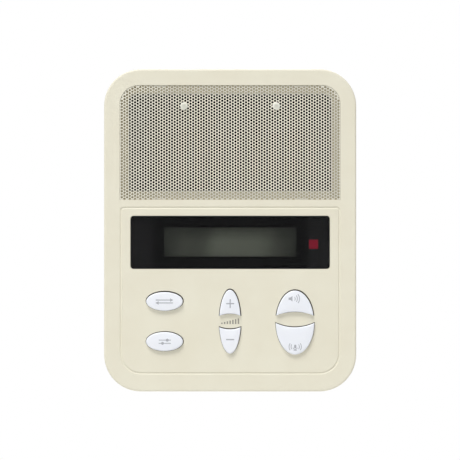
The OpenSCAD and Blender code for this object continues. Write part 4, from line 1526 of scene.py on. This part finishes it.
class Marks:
    """Outlines of the plain printed signs, each about its own middle."""

    BOW_STEPS = 14
    KNOB_SIDES = 20

    @classmethod
    def bow(cls, centre: Flat, radius: float, width: float, ends: Flat) -> list[Flat]:
        """Gives part of a ring.

        Args:
            centre: Middle of the ring.
            radius: Radius of the stroke's middle.
            width: Width of the stroke.
            ends: First and last angle, in degrees.

        Returns:
            Its outline.
        """
        turns = (math.radians(ends[0]), math.radians(ends[1]))
        radii = (radius + width / 2, radius - width / 2)
        outer, inner = (arc(centre, (r, r), turns, cls.BOW_STEPS) for r in radii)
        return [*outer, *reversed(inner)]

    @staticmethod
    def swap() -> list[list[Flat]]:
        """Two arrows that point opposite ways.

        Returns:
            Its strokes.
        """
        made = []
        for side in (1, -1):
            made.append(bar((-5.4 * side, 0.95 * side), (4.0 * side, 0.95 * side), 0.62))
            made.append([(3.7 * side, -0.2 * side), (5.9 * side, 0.95 * side), (3.7 * side, 2.1 * side)])
        return made

    @classmethod
    def sliders(cls) -> list[list[Flat]]:
        """Two sliding controls at different places.

        Returns:
            Its strokes.
        """
        made = []
        for y, knob in ((1.05, 1.6), (-1.05, -1.5)):
            made += [bar((-3.8, y), (3.8, y), 0.5), circle((knob, y), 0.95, cls.KNOB_SIDES)]
        return made

    @staticmethod
    def ramp() -> list[list[Flat]]:
        """Seven bars that grow from left to right."""
        heights = [0.9 + 0.45 * i for i in range(7)]
        return [box((0.96, high), (-5.4 + 1.8 * i, high / 2 - 1.8)) for i, high in enumerate(heights)]

    @classmethod
    def loudspeaker(cls) -> list[list[Flat]]:
        """A small loudspeaker with three waves."""
        made = [[(-4.3, -0.75), (-3.2, -0.75), (-1.8, -1.75), (-1.8, 1.75), (-3.2, 0.75), (-4.3, 0.75)]]
        return made + [cls.bow((-1.9, 0.0), r, 0.5, (-38.0, 38.0)) for r in (1.9, 3.3, 4.7)]

    @classmethod
    def microphone(cls) -> list[list[Flat]]:
        """A microphone on a foot, with waves to both sides.

        Returns:
            Its strokes.
        """
        made = [bar((0.0, 0.15), (0.0, 1.15), 1.45), cls.bow((0.0, 0.2), 1.4, 0.42, (190.0, 350.0)),
                bar((0.0, -1.25), (0.0, -1.75), 0.42), bar((-0.9, -1.8), (0.9, -1.8), 0.42)]
        for turn in (0.0, 180.0):
            made += [cls.bow((0.0, 0.5), r, 0.46, (turn - 34.0, turn + 34.0)) for r in (2.7, 4.0)]
        return made

    @staticmethod
    def plus() -> list[list[Flat]]:
        """A plus sign."""
        return [bar((-2.3, 0.0), (2.3, 0.0), 0.75), bar((0.0, -2.6), (0.0, 2.6), 0.75)]

    @staticmethod
    def minus() -> list[list[Flat]]:
        """A minus sign."""
        return [bar((-2.3, 0.0), (2.3, 0.0), 0.8)]


class KeyShape(Enum):
    """Outlines of the keys."""

    OVAL = "oval"
    VOLUME = "volume"
    LISTEN = "listen"
    TALK = "talk"


@dataclass(frozen=True)
class Key:
    """One key: its shape and place, the stem under it, its sign, and how it sits in its opening."""

    name: str
    body: Body
    shape: KeyShape
    centre: Flat
    stem: Flat
    sign: Callable[[], list[list[Flat]]]
    sign_at: Flat
    flipped: bool = False
    gap: float = 0.52
    play: Flat = (-0.13, -0.3)


@dataclass
class Keypad:
    """Six keys with printed signs, and the silicone mat with a dome under each."""

    row: float = -59.9
    left_row: float = -59.4
    left_x: float = -42.8
    left_step: float = 13.2
    right_x: float = 42.45
    volume_stems: Flat = (-47.55, -71.25)
    talk_stems: Flat = (-47.25, -70.95)
    oval: Flat = (12.45, 6.6)
    volume: Flat = (7.5, 21.3)
    talk: Flat = (12.95, 21.3)
    volume_base: Flat = (3.3, 4.7)
    listen_base: Flat = (4.0, 6.4)
    talk_base: Flat = (0.1, 3.0)
    around: int = 96
    # Level below which a key's faces take painted shade.
    shade_below: float = 11.3
    skirt_ring: float = 11.2
    cap_top: float = 13.8
    crown: float = 0.6
    crown_inset: float = 1.0
    crown_steps: int = 10
    dome: float = 0.25
    dome_rings: tuple[float, ...] = (0.85, 0.7, 0.55, 0.4, 0.25, 0.12)
    wall: float = 1.4
    roof: float = 12.3
    flange: Flat = (7.7, 8.9)
    flange_reach: float = 1.0
    stem_radius: float = 2.4
    stem_foot: float = 5.3
    print_levels: Flat = (-0.05, 0.03)
    print_weld: float = 1e-5
    panel_face: float = 12.0
    clear_of_keys: float = 40.0
    ramp_at: Flat = (0.0, -59.5)
    mat: Flat = (120.0, 50.0)
    mat_middle: float = -60.0
    mat_levels: Flat = (2.0, 3.0)
    mat_sides: int = 48
    mat_base: float = 5.2
    mat_neck: float = 3.4
    mat_wall: float = 0.7
    mat_ceiling: float = 3.8
    plug_wall: float = 0.4
    plug_cut: float = 0.15
    travel: float = 1.2
    crease: float = 40.0

    def keys(self) -> list[Key]:
        """Lists the keys.

        Returns:
            The six keys.
        """
        source, reset = ((self.left_x, self.left_row + step) for step in (self.left_step, -self.left_step))
        middle, right = (0.0, self.left_row), (self.right_x, self.row)
        up, down = ((0.0, y) for y in self.volume_stems)
        listen, talk = ((self.right_x, y) for y in self.talk_stems)
        return [
            Key("source", Body.SOURCE, KeyShape.OVAL, source, source, Marks.swap, (-43.0, -46.5)),
            Key("set", Body.SET, KeyShape.OVAL, reset, reset, Marks.sliders, (-42.7, -72.8),
                gap=0.42, play=(-0.13, -0.14)),
            Key("volume_up", Body.VOLUME_UP, KeyShape.VOLUME, middle, up, Marks.plus, (0.0, -47.9)),
            Key("volume_down", Body.VOLUME_DOWN, KeyShape.VOLUME, middle, down, Marks.minus, (0.0, -71.4),
                flipped=True, gap=0.4, play=(-0.1, -0.3)),
            Key("listen", Body.LISTEN, KeyShape.LISTEN, right, listen, Marks.loudspeaker, (42.5, -44.7)),
            Key("talk", Body.TALK, KeyShape.TALK, right, talk, Marks.microphone, (42.5, -76.6),
                flipped=True, gap=0.3, play=(-0.02, -0.28)),
        ]

    def outline(self, key: Key, inset: float) -> list[Flat]:
        """Gives a key's outline.

        Args:
            key: The key.
            inset: How far inside its opening in the panel.

        Returns:
            The points, in the panel's axes.
        """
        origin = (0.0, 0.0)
        if key.shape is KeyShape.OVAL:
            radii = (self.oval[0] - inset, self.oval[1] - inset)
            points = arc(origin, radii, (0.0, math.tau), self.around)[:-1]
        else:
            axes, base = {KeyShape.VOLUME: (self.volume, self.volume_base),
                          KeyShape.LISTEN: (self.talk, self.listen_base),
                          KeyShape.TALK: (self.talk, self.talk_base)}[key.shape]
            radii, side, rise = (axes[0] - inset, axes[1] - inset), base[0] + inset, base[1] - base[0]
            start, foot = math.asin(side / radii[1]), self.around // 3
            points = arc(origin, radii, (start, math.pi - start), 2 * foot)
            steps = [2 * i / foot - 1 for i in range(1, foot)]
            points += [(radii[0] * math.cos(start) * u, side + rise * (1 - u * u)) for u in steps]
        flip = -1 if key.flipped else 1
        cx, cy = key.centre[0] + key.play[0], key.centre[1] + key.play[1]
        return [(cx + x, cy + flip * y) for x, y in points]

    def cap(self, key: Key) -> Solid:
        """Skins a key from the foot of its stem to its crown.

        Args:
            key: The key.

        Returns:
            The closed solid.
        """
        cx, cy = key.stem
        pocket, shoulder, stem = self.wall + key.gap, self.cap_top - self.crown, self.stem_radius

        def ring(inset: float, z: float) -> list[Spot]:
            """Gives the outline at a height."""
            return [(x, y, z) for x, y in self.outline(key, inset)]

        def stem_ring(z: float) -> list[Spot]:
            """Gives a circle round the stem with a point towards each of the outline's."""
            turns = [math.atan2(y - cy, x - cx) for x, y in self.outline(key, pocket)]
            return [(cx + stem * math.cos(t), cy + stem * math.sin(t), z) for t in turns]

        rings = [stem_ring(self.stem_foot), stem_ring(self.roof), ring(pocket, self.roof),
                 ring(pocket, self.flange[0]), ring(-self.flange_reach, self.flange[0]),
                 ring(-self.flange_reach, self.flange[1]), ring(key.gap, self.flange[1]),
                 ring(key.gap, self.skirt_ring), ring(key.gap, shoulder)]
        for turn in (QUARTER * step / self.crown_steps for step in range(1, self.crown_steps + 1)):
            rings.append(ring(key.gap + self.crown_inset * (1 - math.cos(turn)),
                              shoulder + self.crown * math.sin(turn)))
        for share in self.dome_rings:
            lift = self.cap_top + self.dome * (1 - share * share)
            rings.append([(cx + (x - cx) * share, cy + (y - cy) * share, lift)
                          for x, y in self.outline(key, key.gap + self.crown_inset)])
        return Solid().loft(rings, (cx, cy, self.stem_foot), (cx, cy, self.cap_top + self.dome))

    def printed(self, outlines: list[list[Flat]], at: Flat,
                height: Callable[[float, float], float]) -> Solid:
        """Lays a sign on a surface as one thin layer.

        Args:
            outlines: Strokes of the sign, which may cross.
            at: Place of its middle.
            height: Gives the surface's z at a place.

        Returns:
            The closed solid.
        """
        flat: list[Vector] = []
        loops: list[list[int]] = []
        for outline in map(divided, outlines):
            loops.append(list(range(len(flat), len(flat) + len(outline))))
            flat += [Vector((at[0] + x, at[1] + y)) for x, y in outline]
        spots, _, faces, _, _, _ = delaunay_2d_cdt(flat, [], loops, 1, self.print_weld)

        def level(x: float, y: float) -> Flat:
            """Gives the layer's lower and upper z at a place."""
            return height(x, y) + self.print_levels[0], height(x, y) + self.print_levels[1]

        return Solid().thicken([(p.x, p.y) for p in spots], faces, level)

    def build_key(self, shop: Workshop, key: Key) -> None:
        """Builds and seats one key, with painted shade on its lower sides, and its sign.

        Args:
            shop: Where pieces are seated.
            key: The key to build.
        """
        cap = self.cap(key)
        skin = BVHTree.FromPolygons(cap.points, cap.faces)

        def height(x: float, y: float) -> float:
            """Gives the crown's height at a place."""
            return skin.ray_cast(Vector((x, y, self.clear_of_keys)), Vector((0.0, 0.0, -1.0)))[0].z

        sign = self.printed(key.sign(), key.sign_at, height)
        piece = shop.seat(cap.piece(f"{key.name}_cap", self.crease), Slot.KEY, [f"{key.name}_button"],
                          body=key.body)
        spots = piece.data.vertices
        # Faces wholly below the shade level are painted darker, as shade in the gap round the key.
        shop.paint(piece, Trim.KEY_GAP_SHADE,
                   lambda face: max(-spots[i].co.y for i in face.vertices) < self.shade_below * MM)
        shop.seat(sign.piece(f"{key.name}_sign"), Slot.KEY, trim=Trim.KEY_PRINT, body=key.body)

    def build_dome(self, shop: Workshop, key: Key) -> None:
        """Builds the silicone dome under a key.

        Args:
            shop: Where pieces are seated.
            key: The key over it.
        """
        (low, sheet), top = self.mat_levels, self.stem_foot
        neck, ceiling = self.mat_ceiling + self.mat_wall, self.mat_ceiling
        plug, cut = self.stem_radius + self.plug_wall, self.plug_cut
        profile = [(0.0, top), (plug - cut, top), (plug, top - cut), (plug, neck), (self.mat_neck, neck),
                   (self.mat_base, sheet), (self.mat_base, low), (self.mat_base - self.mat_wall, low),
                   (self.mat_neck - self.mat_wall, ceiling), (0.0, ceiling)]
        dome = Solid().lathe(profile, key.stem, self.mat_sides).piece(f"{key.name}_dome")
        shop.seat(dome, Slot.MAT, ["keypad_mat"])
        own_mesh(dome)

    def build(self, shop: Workshop) -> None:
        """Builds and seats the keys, the mat and the sign on the panel between the volume keys.

        Args:
            shop: Where pieces are seated.
        """
        for key in self.keys():
            self.build_key(shop, key)
            self.build_dome(shop, key)
        holes = [circle(key.stem, self.mat_base, self.mat_sides) for key in self.keys()]
        sheet = Solid().plate(box(self.mat, (0.0, self.mat_middle)), *self.mat_levels, holes)
        shop.seat(sheet.piece("mat_sheet"), Slot.MAT, ["keypad_mat"])
        ramp = self.printed(Marks.ramp(), self.ramp_at, lambda x, y: self.panel_face)
        shop.seat(ramp.piece("volume_ramp"), Slot.PANEL, trim=Trim.PANEL_PRINT)


@dataclass
class DisplayUnit:
    """Face of the display, its driver blobs and pads, and the ribbon to the main board."""

    window: Flat = (130.3, 34.6)
    window_corner: float = 2.0
    window_middle: float = -7.9
    opening: Flat = (86.5, 19.0)
    lamp_at: Flat = (54.6, -9.1)
    lamp: Flat = (6.0, 6.0)
    mask_levels: Flat = (10.1, 10.28)
    view: Flat = (88.3, 20.4)
    middle: float = -7.7
    face_levels: Flat = (9.0, 9.12)
    face_cut: float = 0.03
    board_back: float = 3.0
    blobs: tuple[Flat, ...] = ((-22.0, -4.0), (16.0, -4.0))
    blob: Flat = (6.5, 1.1)
    blob_bulge: float = 0.8
    blob_rings: int = 12
    blob_sides: int = 48
    pads: int = 16
    pad_step: float = 1.27
    pad_row: float = -20.6
    pad_sides: int = 14
    pad: tuple[Flat, ...] = ((0.0, 0.0), (0.52, 0.0), (0.44, 0.2), (0.2, 0.5), (0.0, 0.56))
    ribbon_half: float = 10.0
    ribbon_thick: float = 0.26
    wires: int = 16
    wire_steps: int = 6
    web: float = 0.62
    crease: float = 50.0
    path: tuple[Flat, ...] = ((-22.0, 2.85), (-26.0, 2.85), (-28.0, 2.4), (-29.2, 1.4), (-29.9, 0.1),
                              (-30.8, -1.0), (-32.4, -1.5), (-38.4, -1.5))

    def build_mask(self) -> bpy.types.Object:
        """Makes the layer printed behind the window, open over the display and the indicator.

        Returns:
            The piece.
        """
        holes = [box(self.opening, (0.0, self.middle)), box(self.lamp, self.lamp_at)]
        outline = rounded(self.window, self.window_corner, (0.0, self.window_middle))
        return Solid().plate(outline, *self.mask_levels, holes).piece("mask_print")

    def build_face(self) -> bpy.types.Object:
        """Makes the thin polariser over the display's glass.

        Returns:
            The piece.
        """
        half, high = self.view[0] / 2, self.view[1] / 2
        low = (-half, self.middle - high, self.face_levels[0])
        top = (half, self.middle + high, self.face_levels[1])
        return Solid().block(low, top, self.face_cut).piece("display_face")

    def build_blobs(self) -> bpy.types.Object:
        """Makes the two drops of epoxy over the driver chips.

        Returns:
            The piece.
        """
        solid = Solid()
        for at in self.blobs:
            solid.drop((*at, self.board_back), self.blob, self.blob_rings, self.blob_sides, self.blob_bulge)
        return solid.piece("driver_blobs", self.crease)

    def build_pads(self) -> bpy.types.Object:
        """Makes the row of tinned pads where the ribbon is soldered.

        Returns:
            The piece.
        """
        solid = Solid()
        profile = [(radius, self.board_back - rise) for radius, rise in self.pad]
        for i in range(self.pads):
            x = (i - (self.pads - 1) / 2) * self.pad_step
            solid.lathe(profile, (x, self.pad_row), self.pad_sides)
        return solid.piece("ribbon_joints", self.crease)

    def build_ribbon(self) -> bpy.types.Object:
        """Makes the ribbon as one ribbed band along its path.

        Returns:
            The piece.
        """
        line = [Vector((y, z)) for _, y, z in smooth([(0.0, y, z) for y, z in self.path])]
        count = self.wires * self.wire_steps
        section = []
        for i in range(count + 1):
            rib = abs(math.sin(math.pi * self.wires * i / count))
            thick = self.ribbon_thick / 2 * (self.web + (1.0 - self.web) * rib)
            section.append((self.ribbon_half * (2 * i / count - 1), thick))
        rings = []
        for i, spot in enumerate(line):
            run = (line[min(i + 1, len(line) - 1)] - line[max(i - 1, 0)]).normalized()
            up = Vector((-run.y, run.x))
            top = [(x, *(spot + up * thick)) for x, thick in section]
            under = [(x, *(spot - up * thick)) for x, thick in reversed(section)]
            rings.append([*top, *under])
        return Solid().loft(rings, (0.0, *line[0]), (0.0, *line[-1])).piece("flat_ribbon", self.crease)

    def build(self, shop: Workshop) -> None:
        """Builds and seats the display's pieces.

        Args:
            shop: Where pieces are seated.
        """
        shop.seat(self.build_mask(), Slot.MASK, ["window_mask"])
        shop.seat(self.build_face(), Slot.LCD)
        shop.seat(self.build_blobs(), Slot.CHIP, trim=Trim.EPOXY)
        shop.seat(self.build_pads(), Slot.STEEL, trim=Trim.TIN)
        shop.seat(self.build_ribbon(), Slot.RIBBON, ["display_ribbon"])


@dataclass(frozen=True)
class ResistorRow:
    """Chip resistors in a row, each lying across or standing up the board."""

    first: Flat
    step: Flat
    count: int
    lying: bool


@dataclass
class Electronics:
    """Small parts and print on the back of the main board."""

    back: float = 0.4
    rows: tuple[ResistorRow, ...] = (
        ResistorRow((-46.0, -52.0), (0.0, -3.0), 3, True), ResistorRow((-14.0, -54.0), (3.0, 0.0), 3, False),
        ResistorRow((14.0, -56.0), (0.0, -3.0), 3, True), ResistorRow((40.0, -56.0), (3.0, 0.0), 3, False),
        ResistorRow((-30.0, -70.0), (5.0, 0.0), 2, True), ResistorRow((28.0, -70.0), (5.0, 0.0), 2, True))
    resistor: Spot = (2.0, 1.25, 0.55)
    resistor_end: float = 0.4
    resistor_cut: float = 0.06
    crystal_at: Flat = (-52.0, -42.0)
    crystal: Spot = (10.5, 4.2, 3.2)
    crystal_sides: int = 48
    crystal_foot: tuple[Flat, ...] = ((0.35, 0.0), (0.35, 0.4), (0.0, 0.5))
    crystal_lid: tuple[Flat, ...] = ((0.0, 0.4), (-0.12, 0.12), (-0.4, 0.0))
    chips: tuple[tuple[Flat, Flat], ...] = (((-30.0, -58.0), (20.0, 12.6)), ((28.0, -60.0), (12.0, 9.0)))
    cans: tuple[Flat, ...] = ((-56.0, -74.0), (-46.0, -74.0), (44.0, -74.0))
    can_ring: float = 4.7
    can_sides: int = 40
    line: float = 0.22
    line_thick: float = 0.03

    def build_resistors(self) -> tuple[bpy.types.Object, bpy.types.Object]:
        """Makes the chip resistors.

        Returns:
            Their bodies and their tinned ends.
        """
        bodies, ends = Solid(), Solid()
        half, side, low = self.resistor[0] / 2, self.resistor[1] / 2, self.back - self.resistor[2]
        inner = half - self.resistor_end
        spots = [(row.first[0] + i * row.step[0], row.first[1] + i * row.step[1], row.lying)
                 for row in self.rows for i in range(row.count)]
        for x, y, lying in spots:
            for part, start, stop in ((bodies, -inner, inner), (ends, -half, -inner), (ends, inner, half)):
                near, far = ((start, -side), (stop, side)) if lying else ((-side, start), (side, stop))
                corner = (x + near[0], y + near[1], low)
                part.block(corner, (x + far[0], y + far[1], self.back), self.resistor_cut)
        return bodies.piece("resistor_bodies"), ends.piece("resistor_ends")

    def build_crystal(self) -> bpy.types.Object:
        """Makes the crystal's can: a long rounded lid on a flange.

        Returns:
            The piece.
        """
        (x, y), (long, wide, high) = self.crystal_at, self.crystal
        half, top = (long - wide) / 2, self.back - high
        levels = [(grow, self.back - rise) for grow, rise in self.crystal_foot]
        levels += [(grow, top + rise) for grow, rise in self.crystal_lid]
        turns = [math.tau * i / self.crystal_sides for i in range(self.crystal_sides)]
        rings = []
        for grow, z in levels:
            radius = wide / 2 + grow
            rings.append([(x + math.copysign(half, math.cos(t)) + radius * math.cos(t),
                           y + radius * math.sin(t), z) for t in turns])
        return Solid().loft(rings, (x, y, self.back), (x, y, top)).piece("crystal_can")

    def build_print(self) -> bpy.types.Object:
        """Makes the white outlines printed round the parts.

        Returns:
            The piece.
        """
        solid = Solid()
        loops = [(box(size, at), box((size[0] - 2 * self.line, size[1] - 2 * self.line), at))
                 for at, size in self.chips]
        radii = (self.can_ring, self.can_ring - self.line)
        loops += [tuple(circle(at, radius, self.can_sides) for radius in radii) for at in self.cans]
        for outer, inner in loops:
            solid.plate(outer, self.back - self.line_thick, self.back, [inner])
        return solid.piece("board_outlines")

    def build(self, shop: Workshop) -> None:
        """Builds and seats the board's small parts.

        Args:
            shop: Where pieces are seated.
        """
        bodies, ends = self.build_resistors()
        shop.seat(bodies, Slot.CHIP)
        shop.seat(ends, Slot.STEEL, trim=Trim.TIN)
        shop.seat(self.build_crystal(), Slot.STEEL)
        shop.seat(self.build_print(), Slot.BOARD, trim=Trim.BOARD_PRINT)


@dataclass
class Loudspeaker:
    """Soft pieces of the loudspeaker, and the two leads to it."""

    centre: Flat = (0.0, 57.45)
    frame_front: float = 7.5
    gasket_front: float = 9.0
    gasket: Flat = (28.4, 33.0)
    gasket_swell: float = 0.12
    gasket_steps: int = 8
    rim: float = 28.2
    edge: float = 27.2
    cone_edge: float = 23.4
    lip: float = 22.6
    sheet: float = 0.4
    roll_high: float = 1.3
    roll_steps: int = 14
    roll_sides: int = 128
    spider_reach: Flat = (7.2, 19.6)
    spider_out: float = 22.8
    spider_level: float = -2.6
    spider_high: float = 0.45
    spider_sheet: float = 0.3
    spider_steps: int = 32
    waves: int = 4
    lead_radius: float = 0.7
    red: tuple[Spot, ...] = (
        (61.3, -42.0, -2.6), (61.3, -36.0, -2.6), (61.0, -20.0, -2.8), (60.6, 0.0, -3.0), (59.0, 16.0, -3.4),
        (55.0, 32.0, -4.0), (49.0, 45.9, -4.6), (42.0, 54.9, -5.3), (37.0, 58.9, -5.7), (34.0, 60.4, -5.7),
        (31.0, 60.95, -5.7))
    black: tuple[Spot, ...] = (
        (58.7, -42.0, -2.6), (58.7, -36.0, -2.6), (58.6, -20.0, -2.8), (58.0, 0.0, -3.0), (56.0, 16.0, -3.4),
        (52.0, 30.0, -4.0), (46.0, 41.9, -4.6), (41.0, 48.5, -5.3), (37.0, 51.9, -5.7), (34.0, 53.4, -5.7),
        (31.0, 53.95, -5.7))
    tag_level: float = -5.0
    solder: Flat = (1.15, 1.75)
    solder_off: float = 0.3
    solder_rings: int = 10
    solder_sides: int = 24
    crease: float = 50.0

    def build_gasket(self) -> bpy.types.Object:
        """Makes the foam ring, a little swollen at its edges.

        Returns:
            The piece.
        """
        low, high = self.frame_front, self.gasket_front
        inner, outer = self.gasket
        shares = [i / self.gasket_steps for i in range(self.gasket_steps + 1)]
        dents = [(self.gasket_swell * (1.0 - math.sin(math.pi * s)), low + (high - low) * s) for s in shares]
        profile = [(outer - dent, z) for dent, z in dents]
        profile += [(inner + dent, z) for dent, z in reversed(dents)]
        return Solid().lathe(profile, self.centre).piece("foam_ring")

    def build_surround(self) -> tuple[bpy.types.Object, bpy.types.Object]:
        """Makes the rolled surround in two rings that meet on the crest of the roll.

        Returns:
            The ring on the frame and the ring on the cone.
        """
        middle, roll = (self.edge + self.cone_edge) / 2, (self.edge - self.cone_edge) / 2
        low, high, sheet = self.frame_front, self.frame_front + self.sheet, self.sheet

        def bow(inset: float, ends: Flat) -> list[Flat]:
            """Gives an arc of the roll's section."""
            return arc((middle, high), (roll - inset, self.roll_high - inset), ends, self.roll_steps)

        rim = [(self.rim, low), (self.rim, high), *bow(0.0, (0.0, QUARTER)), *bow(sheet, (QUARTER, 0.0)),
               (self.edge - sheet, low)]
        lip = [(self.lip, low), (self.cone_edge + sheet, low), *bow(sheet, (math.pi, QUARTER)),
               *bow(0.0, (QUARTER, math.pi)), (self.lip, high)]
        return (Solid().lathe(rim, self.centre, self.roll_sides).piece("surround_rim"),
                Solid().lathe(lip, self.centre, self.roll_sides).piece("surround_lip"))

    def build_spider(self) -> tuple[bpy.types.Object, bpy.types.Object]:
        """Makes the corrugated spider in two rings that meet half way out.

        Returns:
            The ring on the frame and the ring on the coil.
        """
        start, end = self.spider_reach
        half = (start + end) / 2
        level, sheet = self.spider_level, self.spider_sheet

        def wave(ends: Flat, lift: float) -> list[Flat]:
            """Gives a run of the corrugated section.

            Args:
                ends: First and last radius.
                lift: Height over the lower face.

            Returns:
                Radius and z of each point.
            """
            shares = [i / self.spider_steps for i in range(self.spider_steps + 1)]
            radii = [ends[0] + (ends[1] - ends[0]) * share for share in shares]
            phases = [math.tau * self.waves * (r - start) / (end - start) for r in radii]
            return [(r, level + self.spider_high * (1 - math.cos(p)) + lift) for r, p in zip(radii, phases)]

        outer = [*wave((half, end), sheet), (self.spider_out, level + sheet), (self.spider_out, level),
                 *wave((end, half), 0.0)]
        inner = [*wave((start, half), sheet), *wave((half, start), 0.0)]
        return (Solid().lathe(outer, self.centre).piece("spider_rim"),
                Solid().lathe(inner, self.centre).piece("spider_neck"))

    def build_lead(self, shop: Workshop, name: str, path: Sequence[Spot], slot: Slot) -> None:
        """Builds, seats and declares one lead.

        Args:
            shop: Where pieces are seated.
            name: Name of the CAD node that it replaces.
            path: Points of its middle line.
            slot: Its finish.
        """
        line = smooth(path)
        piece = Solid().tube(line, self.lead_radius).piece(f"{name}_wire")
        shop.seat(piece, slot, [name])
        row = [(x * MM, -z * MM, y * MM) for x, y, z in line]
        length = sum(math.dist(a, b) for a, b in zip(row, row[1:]))
        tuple(row[0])

    def build_joints(self) -> bpy.types.Object:
        """Makes the drops of solder that hold the leads on their tags.

        Returns:
            The piece.
        """
        solid = Solid()
        for x, y, _ in (self.red[-1], self.black[-1]):
            at = (x + self.solder_off, y, self.tag_level)
            solid.drop(at, self.solder, self.solder_rings, self.solder_sides)
        return solid.piece("solder_drops", self.crease)

    def build(self, shop: Workshop) -> None:
        """Builds and seats the loudspeaker's soft pieces and leads.

        Args:
            shop: Where pieces are seated.
        """
        self.build_lead(shop, "red_lead", self.red, Slot.RED_LEAD)
        self.build_lead(shop, "black_lead", self.black, Slot.BLACK_LEAD)
        shop.seat(self.build_joints(), Slot.STEEL, trim=Trim.TIN)
        shop.seat(self.build_gasket(), Slot.FOAM, ["speaker_gasket"])
        rim, lip = self.build_surround()
        shop.seat(rim, Slot.SURROUND, ["speaker_surround"])
        shop.seat(lip, Slot.SURROUND, ["speaker_surround"], body=Body.CONE)
        rim, neck = self.build_spider()
        shop.seat(rim, Slot.SPIDER, ["spider"])
        shop.seat(neck, Slot.SPIDER, ["spider"], body=Body.CONE)


@dataclass(frozen=True)
class Lamp:
    """A round soft lamp aimed at the panel: its place and size in metres, its power in watts."""

    name: str
    place: Spot
    size: float
    power: float


@dataclass
class Studio:
    """Camera square to the panel, soft lamps, pale floor and a white surround."""

    distance: float = 1600.0
    frame: float = 300.9
    face: float = 12.0
    aim: Flat = (-0.1, 0.2)
    sensor: float = 36.0
    clip: Flat = (0.05, 20.0)
    floor_drop: float = 300.0
    floor_size: float = 3000.0
    ambient: float = 0.34
    lamps: tuple[Lamp, ...] = (
        Lamp("key_lamp", (-1.0, -1.9, 3.9), 2.2, 183.0),
        Lamp("fill_lamp", (0.5, -1.5, -0.6), 1.2, 1.6),
        Lamp("back_lamp", (0.1, 1.3, 1.0), 1.0, 9.0))

    def build_camera(self) -> None:
        """Makes the camera and gives it to the scene."""
        data = bpy.data.cameras.new("camera")
        data.sensor_width = self.sensor
        data.lens = self.sensor * self.distance / self.frame
        data.clip_start, data.clip_end = self.clip
        camera = link("camera", data)
        camera.location = (self.aim[0] * MM, -(self.distance + self.face) * MM, self.aim[1] * MM)
        camera.rotation_euler = (QUARTER, 0.0, 0.0)
        bpy.context.scene.camera = camera

    def build_lamps(self) -> None:
        """Makes the soft lamps, aimed at the panel."""
        for lamp in self.lamps:
            data = bpy.data.lights.new(lamp.name, "AREA")
            data.shape, data.size, data.energy = "DISK", lamp.size, lamp.power
            made = link(lamp.name, data)
            made.location = lamp.place
            made.rotation_euler = (-Vector(lamp.place)).to_track_quat("-Z", "Y").to_euler()

    def build_world(self) -> None:
        """Makes the surround: white where it is seen, mirrored or looked through, and dimmer as light."""
        world = bpy.data.worlds.new("surround")
        recipe = Recipe(world)
        dim, full = (recipe.add("ShaderNodeBackground", {"Color": WHITE, "Strength": strength}).outputs[0]
                     for strength in (self.ambient, 1.0))
        mix = recipe.add("ShaderNodeMixShader", {0: recipe.seen(), 1: dim, 2: full})
        recipe.add("ShaderNodeOutputWorld", {"Surface": mix.outputs[0]})
        bpy.context.scene.world = world

    def build_floor(self) -> None:
        """Makes the pale floor well below the panel."""
        mesh = bpy.data.meshes.new("floor")
        corners = box((self.floor_size, self.floor_size), (0.0, 0.0))
        mesh.from_pydata([(x * MM, y * MM, -self.floor_drop * MM) for x, y in corners], [], [(0, 1, 2, 3)])
        mesh.materials.append(FLOOR_PAINT.material("floor_paint"))
        floor = link("floor", mesh)

    def build(self) -> None:
        """Builds the whole studio."""
        self.build_camera()
        self.build_lamps()
        self.build_world()
        self.build_floor()
        bpy.context.scene.view_settings.view_transform = "Standard"


def main() -> None:
    """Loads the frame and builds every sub-assembly on it."""
    logging.basicConfig(level=logging.INFO, format="%(name)s: %(message)s")
    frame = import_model()
    Studio().build()
    shop = Workshop(frame)
    shop.dress()
    for assembly in (Grille(), Keypad(), DisplayUnit(), Electronics(), Loudspeaker()):
        assembly.build(shop)
    LOG.info("%d new pieces on %d CAD nodes", shop.count, len(frame["nodes"]))


if __name__ == "__main__":
    main()
